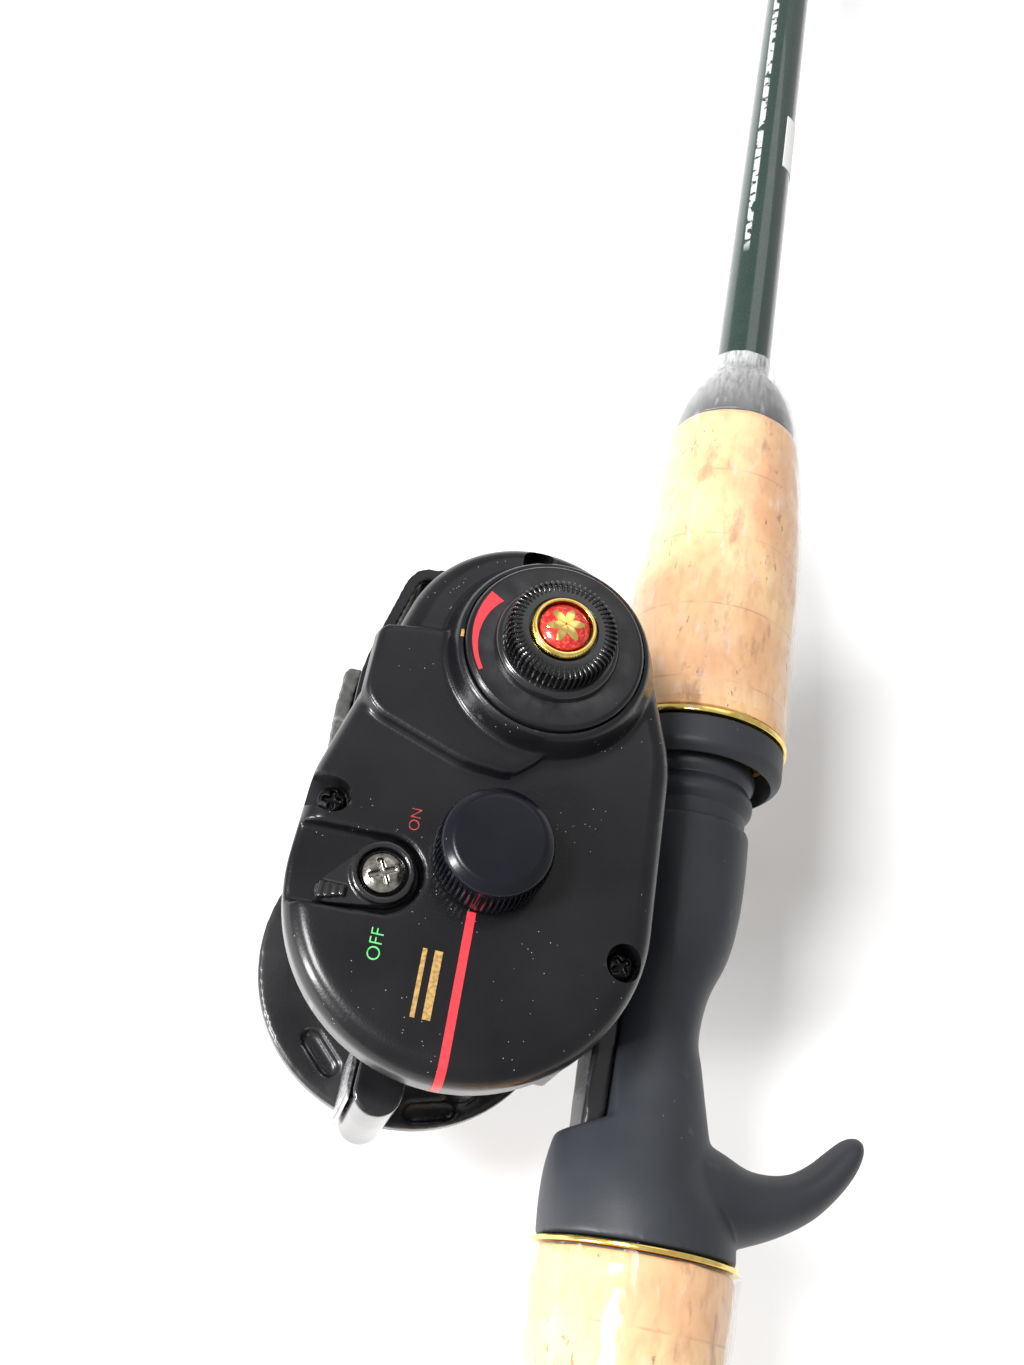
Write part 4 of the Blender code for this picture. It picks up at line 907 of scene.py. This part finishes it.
holes = [disc(12.1, 29.4, 40, (*DIAL_AT, 0), steps=160), disc(2.6, 10, 40, (*DIAL_AT, 0)),
         disc(3.8, 10, 40, (*SPOOL_AT, 0)), disc(1.6, 20, 40, (*FLIP_AT, 0)), hollow]
for (x, y), (dx, dy) in zip(SCREW_SPOTS, ((-4.0, 1.0), (0.0, -0.2), (0.0, 0.4))):
    holes.append(prism(wrap([((x, y), 2.3), ((x + dx, y + dy), 2.3)], count=48), 24.0, 40))
cover = moulded(shell, [panel, lathe(ring_side, (*DIAL_AT, 0), steps=128)], [prism(wedge, 26.0, 40)], 0.33,
                5)
plate_mesh = combined(cover, (), holes)
piece("side_plate_near", plate_mesh, SATIN, "rod", crease=55)
plate_face = BVHTree.FromPolygons([v.co.copy() for v in plate_mesh.vertices],
                                  [tuple(p.vertices) for p in plate_mesh.polygons])


def paint(name, colour, worn, size=0.5, rough=0.4):
    """Printed enamel whose edge and body are a little worn."""
    made, tree, shader = finish(name)
    thin = between(tree, clouds(tree, size, 5.0), 0.36, 0.6)
    dressed(tree, shader, tint(tree, thin, worn, colour),
            between(tree, clouds(tree, 0.8), 0.3, 0.7, rough - 0.08, rough + 0.12))
    bumped(tree, shader, clouds(tree, 0.2), 0.2, 0.02)
    return made


def on_plate(point, lift):
    """The nearest spot on the plate to a point, raised by lift millimetres."""
    spot, normal, _, _ = plate_face.find_nearest(Vector(point) * MM)
    return spot / MM + normal * lift


def draped(path, half, lift=0.07):
    """A printed line along path, half its width to each side in X, laid on the plate's face."""
    rows = []
    for x, y, z in path:
        left, right = (x - half, y, z), (x + half, y, z)
        rows.append([on_plate(left, lift), on_plate(right, lift), on_plate(right, -0.15),
                     on_plate(left, -0.15)])
    return stack(rows)


RED_PAINT = paint("red_paint", (0.82, 0.035, 0.05), (0.6, 0.03, 0.04))
GOLD_PAINT = paint("gold_paint", (0.5, 0.3, 0.08), (0.26, 0.16, 0.06))
GREEN_PAINT = paint("green_paint", (0.14, 0.72, 0.2), (0.08, 0.4, 0.12))
DULL_RED = paint("dull_red_paint", (0.42, 0.05, 0.04), (0.2, 0.03, 0.03))
stripe_path = [(STRIPE_X, 32.0 - 0.6 * i, PLATE_OUTER) for i in range(30)]
stripe_path += [(STRIPE_X, 14.2 - RIM_ROUND * sin(radians(a)), 25.0 + RIM_ROUND * cos(radians(a)))
                for a in range(6, 91, 6)]
stripe_path += [(STRIPE_X, 11.2, 25.0 - 0.5 * i) for i in range(1, 6)]
piece("stripe_red", draped(stripe_path, 0.55), RED_PAINT, "rod")
for name, x, half in (("accent_bar_1", -35.3, 0.5), ("accent_bar_2", -37.0, 0.28)):
    piece(name, draped([(x, 26.4 - 0.4 * i, PLATE_OUTER) for i in range(22)], half), GOLD_PAINT, "rod")
piece("index_tick", draped([(-40.6, 66.4 + 0.2 * i, 32.4) for i in range(6)], 0.22), GOLD_PAINT, "rod")


def lettering(word, height, at, skin, name):
    """A short word printed on the plate, read towards the tip."""
    text = bpy.data.curves.new(name, "FONT")
    text.body = word
    text.size = height * MM
    text.extrude = 0.08 * MM
    text.offset = -0.03 * MM
    text.align_x = "CENTER"
    text.align_y = "CENTER"
    mesh = settled(put("working", text))
    for vert in mesh.vertices:
        x, y, z = vert.co
        vert.co = (at[0] * MM - y, at[1] * MM + x, PLATE_OUTER * MM + z)
    piece(name, mesh, skin, "rod")


lettering("ON", 1.95, (-41.3, 42.1), DULL_RED, "mark_on")
lettering("OFF", 2.35, (-42.9, 25.6), GREEN_PAINT, "mark_off")


# ---- Screws: steel machine screws with crossed slots hold the plate, sunk in its notches; a larger
# one carries the lever.
def cross_head(radius, top, thick, slot_length, low):
    """A domed head on a short shank, cut with a cross, standing on the Z axis."""
    form = soften([(0, top), (radius * 0.6, top - 0.12), (radius * 0.92, top - 0.55), (radius, top - thick),
                   (1.2, top - thick),
                   (1.2, low), (0, low)], 0.25)
    half = slot_length / 2
    cross = [block((-half, -0.36, top - 0.85), (half, 0.36, top + 1)), block((-0.36, -half, top - 0.85),
                                                                             (0.36, half, top + 1))]
    return moulded(lathe(form, steps=40), (), cross, 0.13, 2)


def set_out_tree():
    """Geometry nodes: the same fitting set at every point of a mesh."""
    tree, given = open_tree("set_out", "Spots", (("Fitting", "Object"), ("Turn", "Float")), "Fittings")
    shape = node(tree, "GeometryNodeObjectInfo", {"Object": given["Fitting"]}).outputs["Geometry"]
    number = node(tree, "GeometryNodeInputIndex").outputs[0]
    turn = node(tree, "CombineXYZ", {"Z": reckon(tree, "MULTIPLY", number,
                                                 given["Turn"])}).outputs["Vector"]
    return close_tree(tree, given, stood(tree, given["Spots"], shape, Rotation=turn))


def points_mesh(points):
    mesh = bpy.data.meshes.new("spots")
    mesh.from_pydata([Vector(p) * MM for p in points], [], [])
    return mesh


SCREW_STEEL = metal("screw_steel", (0.16, 0.15, 0.13), (0.46, 0.44, 0.4), 0.22, 0.9)
DARK_STEEL = metal("blackened_steel", (0.008, 0.008, 0.009), (0.025, 0.025, 0.026), 0.4, 0.9)
head = put("working", cross_head(2.0, 26.2, 1.9, 2.5, 22.0))
plate_screws = grown(points_mesh([(*spot, 0) for spot in SCREW_SPOTS]), set_out_tree(), Fitting=head,
                     Turn=0.7,
                     Finish=DARK_STEEL)
bpy.data.objects.remove(head, do_unlink=True)
piece("plate_screws", plate_screws, DARK_STEEL, "rod", "plate_screw_1", "plate_screw_2", "plate_screw_3",
      crease=50)


# ---- Front cover and thumb rest: a bent cover bridges the frame's rings over the line guide, and a
# pad of cracked rubber is glued to its upper edge.
COVER_HALF = FRAME_HALF - RING_T - 0.3
cover_line = [(-52.3, 57.0, 0.3), (-52.3, 64.4, 2.0), (-51.6, 68.4, 3.0), (-48.9, 79.6, 1.4),
              (-47.4, 81.5, 1.0), (-43.0, 82.2, 0.3),
              (-43.0, 80.6, 0.3), (-46.4, 79.8, 1.0), (-47.3, 78.9, 1.0), (-50.0, 68.0, 3.0),
              (-50.6, 64.0, 2.0),
              (-50.6, 57.0, 0.3)]
piece("front_cover", moulded(prism(soften(cover_line, 0.5, True), -COVER_HALF, 20.7), voxel=0.3, passes=3),
      SATIN, "rod",
      crease=180)
pad_line = soften([(-54.65, 59.5), (-54.55, 67.0), (-54.1, 67.8), (-52.2, 67.8), (-52.65, 64.6),
                   (-52.65, 59.5)], 0.25, True)
pad = moulded(prism(pad_line, -COVER_HALF + 1.6, COVER_HALF - 1.6), voxel=0.25, passes=1)
# Its convex edges are lighter: partly scuffed wear, partly a painted edge highlight.
CRACKED = moulding("cracked_rubber", (0.03, 0.03, 0.03), (0.13, 0.13, 0.125), 0.6, 0.5, 1.0, dust=0.45,
                   edge_wear_and_highlight=0.8,
                   rub_tone=(0.3, 0.3, 0.29))
piece("thumb_pad", wobbled(wobbled(pad, 1.3, 0.16), 0.5, 0.08), CRACKED, "rod", crease=180)


# ---- Thumb bar: a black moulded bar between the rings that frees the spool when pressed towards the
# rod; its face carries a bright ribbed strip.
def joined(tree, first, second):
    both = node(tree, "GeometryNodeJoinGeometry")
    tree.links.new(first, both.inputs[0])
    tree.links.new(second, both.inputs[0])
    return both.outputs[0]


def row_tree():
    """Geometry nodes: rounded ribs in a straight row, joined to the part that carries them."""
    tree, given = open_tree("row_of_ribs", "Base", (("Ribs", "Int"), ("First", "Vector"),
                                                    ("Step", "Vector"),
                                                    ("Half Size", "Vector")), "Ribbed")
    bead = node(tree, "GeometryNodeMeshUVSphere", {"Segments": 10, "Rings": 8,
                                                   "Radius": 1.0}).outputs["Mesh"]
    line = node(tree, "GeometryNodeMeshLine", {"Count": given["Ribs"], "Start Location": given["First"],
                                               "Offset": given["Step"]}).outputs["Mesh"]
    ribs = stood(tree, line, bead, Scale=given["Half Size"])
    return close_tree(tree, given, joined(tree, ribs, given["Base"]))


bar_half = FRAME_HALF - RING_T - 0.8
bar = prism(wrap([((-38.2, 11.4), 3.1), ((-38.0, 16.8), 3.1)], count=96), -bar_half, bar_half)
lugs = block((-39.8, 17.8, -16.7), (-37.4, 19.8, 16.7))
piece("thumb_bar", moulded(bar, [lugs], (), 0.3, 4), GLOSS, "thumb_bar", crease=180)
strip_line = soften([(-42.1, 11.6), (-41.7, 10.0), (-41.6, 9.9), (-41.6, 18.4), (-41.8, 18.4),
                     (-42.1, 17.4)], 0.1, True, 3)
BRIGHT = metal("bright_strip", (0.25, 0.25, 0.26), (0.55, 0.55, 0.56), 0.26, 1.2, (1, 1, 0.25))
ribbed = grown(prism(strip_line, -bar_half + 1, bar_half - 1), row_tree(), Ribs=9,
               First=Vector((-42.0, 11.0, 0)) * MM,
               Step=Vector((0, 0.8, 0)) * MM, Half_Size=Vector((0.2, 0.26, bar_half - 1.2)) * MM,
               Finish=BRIGHT)
piece("thumb_bar_strip", ribbed, BRIGHT, "thumb_bar")


# ---- Brake dial: a moulded black disc with a polished collar and a knurled crown, which holds a
# red foil badge under a domed resin drop in a gilt bezel; a ring of magnets sits behind the plate.
def crown_tree():
    """Geometry nodes: upright rounded ribs in a circle round a turned core."""
    tree, given = open_tree("ring_of_ribs", "Core", (("Ribs", "Int"), ("Circle Radius", "Float"),
                                                     ("Centre", "Vector"),
                                                     ("Half Size", "Vector")), "Knob")
    circle = node(tree, "GeometryNodeMeshCircle", {"Vertices": given["Ribs"],
                                                   "Radius": given["Circle Radius"]})
    spot = node(tree, "GeometryNodeInputPosition").outputs[0]
    outwards = node(tree, "FunctionNodeAlignRotationToVector", {"Vector": spot}, axis="X", pivot_axis="Z")
    bead = node(tree, "GeometryNodeMeshUVSphere", {"Segments": 8, "Rings": 8,
                                                   "Radius": 1.0}).outputs["Mesh"]
    ribs = stood(tree, circle.outputs["Mesh"], bead, Rotation=outwards.outputs[0], Scale=given["Half Size"])
    moved = node(tree, "GeometryNodeTransform",
                 {"Geometry": ribs, "Translation": given["Centre"]}).outputs["Geometry"]
    return close_tree(tree, given, joined(tree, moved, given["Core"]))


CROWN = crown_tree()
DIAL_3D = (*DIAL_AT, 0)
DIAL_RIBS, CRESCENT_R, CRESCENT_START, CRESCENT_SWEEP = 58, 11.05, 150, 63
dial_side = soften([(0, 37.2), (4.5, 37.2, 0), (4.5, 38.0, 0.1), (6.2, 37.9, 0.4), (6.7, 37.3, 0.4),
                    (6.75, 34.9, 0),
                    (7.7, 34.9, 0.3), (8.2, 34.3, 0.4), (8.2, 33.2, 0), (7.6, 33.2, 0), (7.6, 29.9, 0),
                    (2.0, 29.9), (2.0, 23.0),
                    (0, 23.0)], 0.2)
dial_mesh = grown(lathe(dial_side, DIAL_3D, steps=128), CROWN, Ribs=DIAL_RIBS, Circle_Radius=6.8 * MM,
                  Centre=Vector((*DIAL_AT, 36.35)) * MM, Half_Size=Vector((0.42, 0.24, 1.75)) * MM,
                  Finish=GLOSS)
dial_mesh = grown(dial_mesh, CROWN, Ribs=DIAL_RIBS, Circle_Radius=6.15 * MM,
                  Centre=Vector((*DIAL_AT, 37.95)) * MM,
                  Half_Size=Vector((0.85, 0.2, 0.26)) * MM, Finish=GLOSS)
disc_side = soften([(7.7, 33.3), (11.4, 33.3, 0.2), (11.85, 32.8, 0.25), (11.85, 29.7, 0.2), (7.7, 29.7)],
                   0.0, True)
piece("dial_disc", lathe(disc_side, DIAL_3D, steps=160, bored=True), SATIN, "brake_dial")
piece("brake_dial", dial_mesh, GLOSS, "brake_dial")
bezel = soften([(3.6, 37.3), (4.3, 37.3), (4.3, 38.3, 0.2), (4.0, 38.85, 0.2), (3.6, 38.8, 0.1)], 0.0, True)
piece("dial_bezel", lathe(bezel, DIAL_3D, steps=96, bored=True), GOLD, "brake_dial")


def foil_skin():
    """Red glitter foil seen through clear resin."""
    made, tree, shader = finish("red_foil", Coat_Weight=1.0, Coat_Roughness=0.02, Metallic=0.35)
    place = place_on(tree)
    flakes = node(tree, "TexVoronoi", {"Vector": place, "Scale": 3200.0}).outputs["Color"]
    lit = between(tree, node(tree, "SeparateColor", {0: flakes}).outputs[0], 0.55, 0.95)
    red = tint(tree, clouds(tree, 1.5), (0.4, 0.003, 0.006), (0.62, 0.012, 0.012))
    dressed(tree, shader, tint(tree, lit, red, (0.95, 0.09, 0.05)), between(tree, lit, 0.0, 1.0, 0.35,
                                                                            0.15))
    bumped(tree, shader, lit, 0.2, 0.05)
    return made


def dome_height(r):
    return 38.2 + 1.1 * (max(0.0, 1 - (r / 3.3) ** 2)) ** 0.5


jewel = [(r, dome_height(r)) for r in [i * 0.2 for i in range(17)]] + [(3.3, 37.3), (0, 37.3)]
piece("dial_jewel", lathe(jewel, DIAL_3D, steps=96), foil_skin(), "brake_dial")


def petal(turn, reach=2.3, half=0.55):
    """One leaf of the badge's rosette, laid on the resin dome."""
    rows = []
    for i in range(11):
        t = i / 10
        along, wide = 0.15 + reach * t, half * sin(pi * (0.08 + 0.84 * t)) ** 0.8
        row = []
        for side, drop in ((-1, 0.05), (0, 0.1), (1, 0.05), (1, -0.12), (-1, -0.12)):
            x = along * cos(turn) - side * wide * sin(turn)
            y = along * sin(turn) + side * wide * cos(turn)
            row.append((DIAL_AT[0] + x, DIAL_AT[1] + y, dome_height(hypot(x, y)) + drop))
        rows.append(row)
    return stack(rows)


def gathered(meshes):
    """Several meshes as one."""
    form = bmesh.new()
    for mesh in meshes:
        form.from_mesh(mesh)
    return closed_mesh(form)


piece("badge_rosette", gathered([petal(radians(15 + 60 * i)) for i in range(6)]), GOLD, "brake_dial",
      slot="gold")
crescent_rows = []
for i in range(33):
    t = i / 32
    way = radians(CRESCENT_START + CRESCENT_SWEEP * t)
    inner = 10.5 - 1.5 * (1 - t) ** 2
    row = []
    for radius, z in ((CRESCENT_R, 33.37), (inner, 33.37), (inner, 33.2), (CRESCENT_R, 33.2)):
        row.append((DIAL_AT[0] + radius * cos(way), DIAL_AT[1] + radius * sin(way), z))
    crescent_rows.append(row)
piece("dial_crescent", stack(crescent_rows), RED_PAINT, "brake_dial")
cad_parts["magnet_ring"].data.materials[0] = metal("magnet_nickel", (0.35, 0.35, 0.36),
                                                        (0.5, 0.5, 0.5), 0.3)


# ---- Spool tension knob: a turned and blackened knob over the spool's near bearing, its side cut
# with a fine straight knurl and its face bevelled.
KNOB_RIBS = 64
knob_side = soften([(0, 36.3), (5.7, 36.25, 0.5), (6.9, 35.2, 0.4), (6.9, 34.4, 0.2), (7.0, 28.5, 0.3),
                    (3.3, 28.3), (3.3, 27.4), (0, 27.4)], 0.0)
knob_mesh = grown(lathe(knob_side, (*SPOOL_AT, 0), steps=128), CROWN, Ribs=KNOB_RIBS,
                  Circle_Radius=6.95 * MM,
                  Centre=Vector((*SPOOL_AT, 31.5)) * MM, Half_Size=Vector((0.4, 0.25, 3.2)) * MM,
                  Finish=GLOSS)
KNOB_BLACK = moulding("knob_anodised", (0.003, 0.0035, 0.006), (0.006, 0.007, 0.011), 0.22, 0.3, 0.1,
                      dust=0.7,
                      Specular_IOR_Level=0.25)
piece("tension_knob", knob_mesh, KNOB_BLACK, "tension_knob")


# ---- Flip lever: a small black lever that turns in its pocket under a collar, held by a
# cross-headed steel screw.
flip_x, flip_y = FLIP_AT
arm = prism(wrap([(FLIP_AT, 4.1), ((flip_x - 6.2, flip_y - 3.5), 1.5)], count=96), 26.3, 27.6)
collar = disc(3.95, 27.0, 28.45, (*FLIP_AT, 0))
ridges = []
for i in range(4):
    x = flip_x - 6.9 + 0.85 * i
    ridges.append(wire([(x, flip_y - 4.7 + 0.25 * i, 27.9), (x, flip_y - 2.6, 27.9)], 0.45))
lever_cuts = [disc(3.15, 27.2, 40, (*FLIP_AT, 0)), disc(1.5, 20, 40, (*FLIP_AT, 0))]
piece("flip_lever", moulded(arm, [collar] + ridges, lever_cuts, 0.16, 3), GLOSS, "flip_lever", crease=180)
SCREW_TURN = 0.45
lever_screw = cross_head(2.85, 28.6, 1.3, 3.6, 23.0)
for vert in lever_screw.vertices:
    x, y, z = vert.co
    vert.co = (x * cos(SCREW_TURN) - y * sin(SCREW_TURN) + flip_x * MM,
               x * sin(SCREW_TURN) + y * cos(SCREW_TURN) + flip_y * MM, z)
piece("flip_screw", lever_screw, SCREW_STEEL, "rod", crease=50)


# ---- Spool and drive train: a turned alloy spool on a steel shaft, brass gears in the crank-side
# cover, and a level-wind worm that carries the line guide along its rail.
ALLOY = metal("turned_alloy", (0.46, 0.46, 0.48), (0.57, 0.57, 0.59), 0.24, 2.0, (0.06, 0.06, 1.5), 0.05)
BRASS = metal("brass", (0.55, 0.38, 0.14), (0.75, 0.55, 0.24), 0.3)
FIBRE = moulding("drag_fibre", (0.1, 0.08, 0.06), (0.17, 0.14, 0.11), 0.75, 0.3, 0.6)
SPOOL_HALF = 15.6
flange = [(2.6, SPOOL_HALF), (15.8, SPOOL_HALF, 0.3), (16.6, SPOOL_HALF - 0.6, 0.3),
          (16.6, SPOOL_HALF - 1.3, 0.3), (15.0, SPOOL_HALF - 1.9), (9.4, SPOOL_HALF - 2.4, 0.6)]
spool_side = flange + [(r, -h) + tuple(rest) for r, h, *rest in reversed(flange)]
spool_side += [(2.6, -SPOOL_HALF + 1.6), (1.8, -SPOOL_HALF + 1.6), (1.8, SPOOL_HALF - 1.6),
               (2.6, SPOOL_HALF - 1.6)]
piece("spool", lathe(soften(spool_side, 0.15, True, 3), (*SPOOL_AT, 0), steps=128, bored=True), ALLOY,
      "spool")
worm_side = [(0, 17.4), (1.6, 17.4), (1.6, 13.6)]
for i in range(24):
    worm_side += [(2.0, 13.2 - i * 1.1), (2.0, 12.9 - i * 1.1), (1.6, 12.6 - i * 1.1),
                  (1.6, 12.4 - i * 1.1)]
worm_side += [(1.5, -17.6), (1.5, -28.3), (0, -28.3)]
piece("worm_shaft", lathe(worm_side, (*WORM_AT, 0), steps=32), STEEL, "worm")
carriage = wrap([(WORM_AT, 3.6), (ROD_AT, 2.6), ((WORM_AT[0] - 6.5, WORM_AT[1] + 6.0), 3.4)], count=96)
eye_cuts = [disc(2.3, -10, 10, (*WORM_AT, 0)), disc(1.5, -10, 10, (*ROD_AT, 0)),
            disc(1.9, -20, 20, (WORM_AT[0] - 6.8, WORM_AT[1] + 3, 0), "Y")]
piece("line_guide", moulded(prism(carriage, -3.2, 3.2), (), eye_cuts, 0.25, 3), GLOSS, "line_guide",
      crease=180)
for name, skin in (("spool_shaft", STEEL), ("guide_rod", STEEL), ("spool_bearing_near", STEEL),
                   ("spool_bearing_far", STEEL), ("pinion_gear", BRASS), ("main_gear", BRASS),
                   ("worm_gear", BRASS),
                   ("drag_washer", FIBRE)):
    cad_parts[name].data.materials[0] = skin


# ---- Crank: a pressed alloy arm on the drive shaft under a steel nut, behind a five-pointed star
# wheel that sets the drag, with a soft ribbed knob on its pin.
CRANK_3D = (*CRANK_AT, 0)
CRANK_REACH, ARM_LOW, ARM_THICK = 45.0, -38.8, 2.4
KNOB_AT = (CRANK_AT[0], CRANK_AT[1] + CRANK_REACH)
shaft = soften([(0, -16.6), (2.6, -16.6, 0.3), (2.6, -41.0, 0.1), (2.0, -41.0, 0.1), (2.0, -44.6, 0.4),
                (0, -44.6)], 0.0)
piece("drive_shaft", lathe(shaft, CRANK_3D, steps=48), STEEL, "crank")
STAR_TIP, STAR_ROOT = 15.0, 8.2
star_points = []
for i in range(10):
    reach = (STAR_TIP, STAR_ROOT)[i % 2]
    star_points.append((CRANK_AT[0] + reach * cos(pi * i / 5), CRANK_AT[1] + reach * sin(pi * i / 5)))
star_line = soften(star_points, 2.4, True, 8)
star = moulded(prism(star_line, -33.6, -31.2), [disc(5.4, -36.0, -31.0, CRANK_3D)],
               [disc(2.9, -40, -20, CRANK_3D)], 0.28, 4)
piece("star_drag", star, ALLOY, "star_drag", crease=180)
arm_line = wrap([(CRANK_AT, 6.0), (KNOB_AT, 4.2), ((CRANK_AT[0], CRANK_AT[1] - 14), 4.4)], count=96)
arm_cuts = [disc(2.9, -50, -20, CRANK_3D), disc(2.1, -50, -20, (*KNOB_AT, 0))]
piece("crank_arm", moulded(prism(arm_line, ARM_LOW, ARM_LOW + ARM_THICK), (), arm_cuts, 0.28, 4), ALLOY,
      "crank", crease=180)
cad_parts["crank_nut"].data.materials[0] = STEEL
pin = soften([(0, -35.6), (3.0, -35.6, 0.2), (3.0, -36.1, 0.2), (1.8, -36.1), (1.8, -60.0, 0.3),
              (0, -60.0)], 0.0)
piece("knob_pin", lathe(pin, (*KNOB_AT, 0), steps=40), STEEL, "crank")
grip_line = soften([(2.1, -39.4), (4.0, -39.4, 0.3), (5.6, -40.4, 1.0), (6.2, -45, 3.0), (6.0, -52, 3.0),
                    (7.1, -57.5, 2.0), (6.6, -60.6, 1.0),
                    (4.8, -61.6, 0.5), (2.1, -61.6)], 0.0)
knob = grown(lathe(grip_line, (*KNOB_AT, 0), steps=96, bored=True), CROWN, Ribs=20, Circle_Radius=5.75 * MM,
             Centre=Vector((*KNOB_AT, -49.5)) * MM, Half_Size=Vector((0.55, 0.5, 7.0)) * MM, Finish=RUBBER)
piece("crank_knob", knob, RUBBER, "crank_knob")
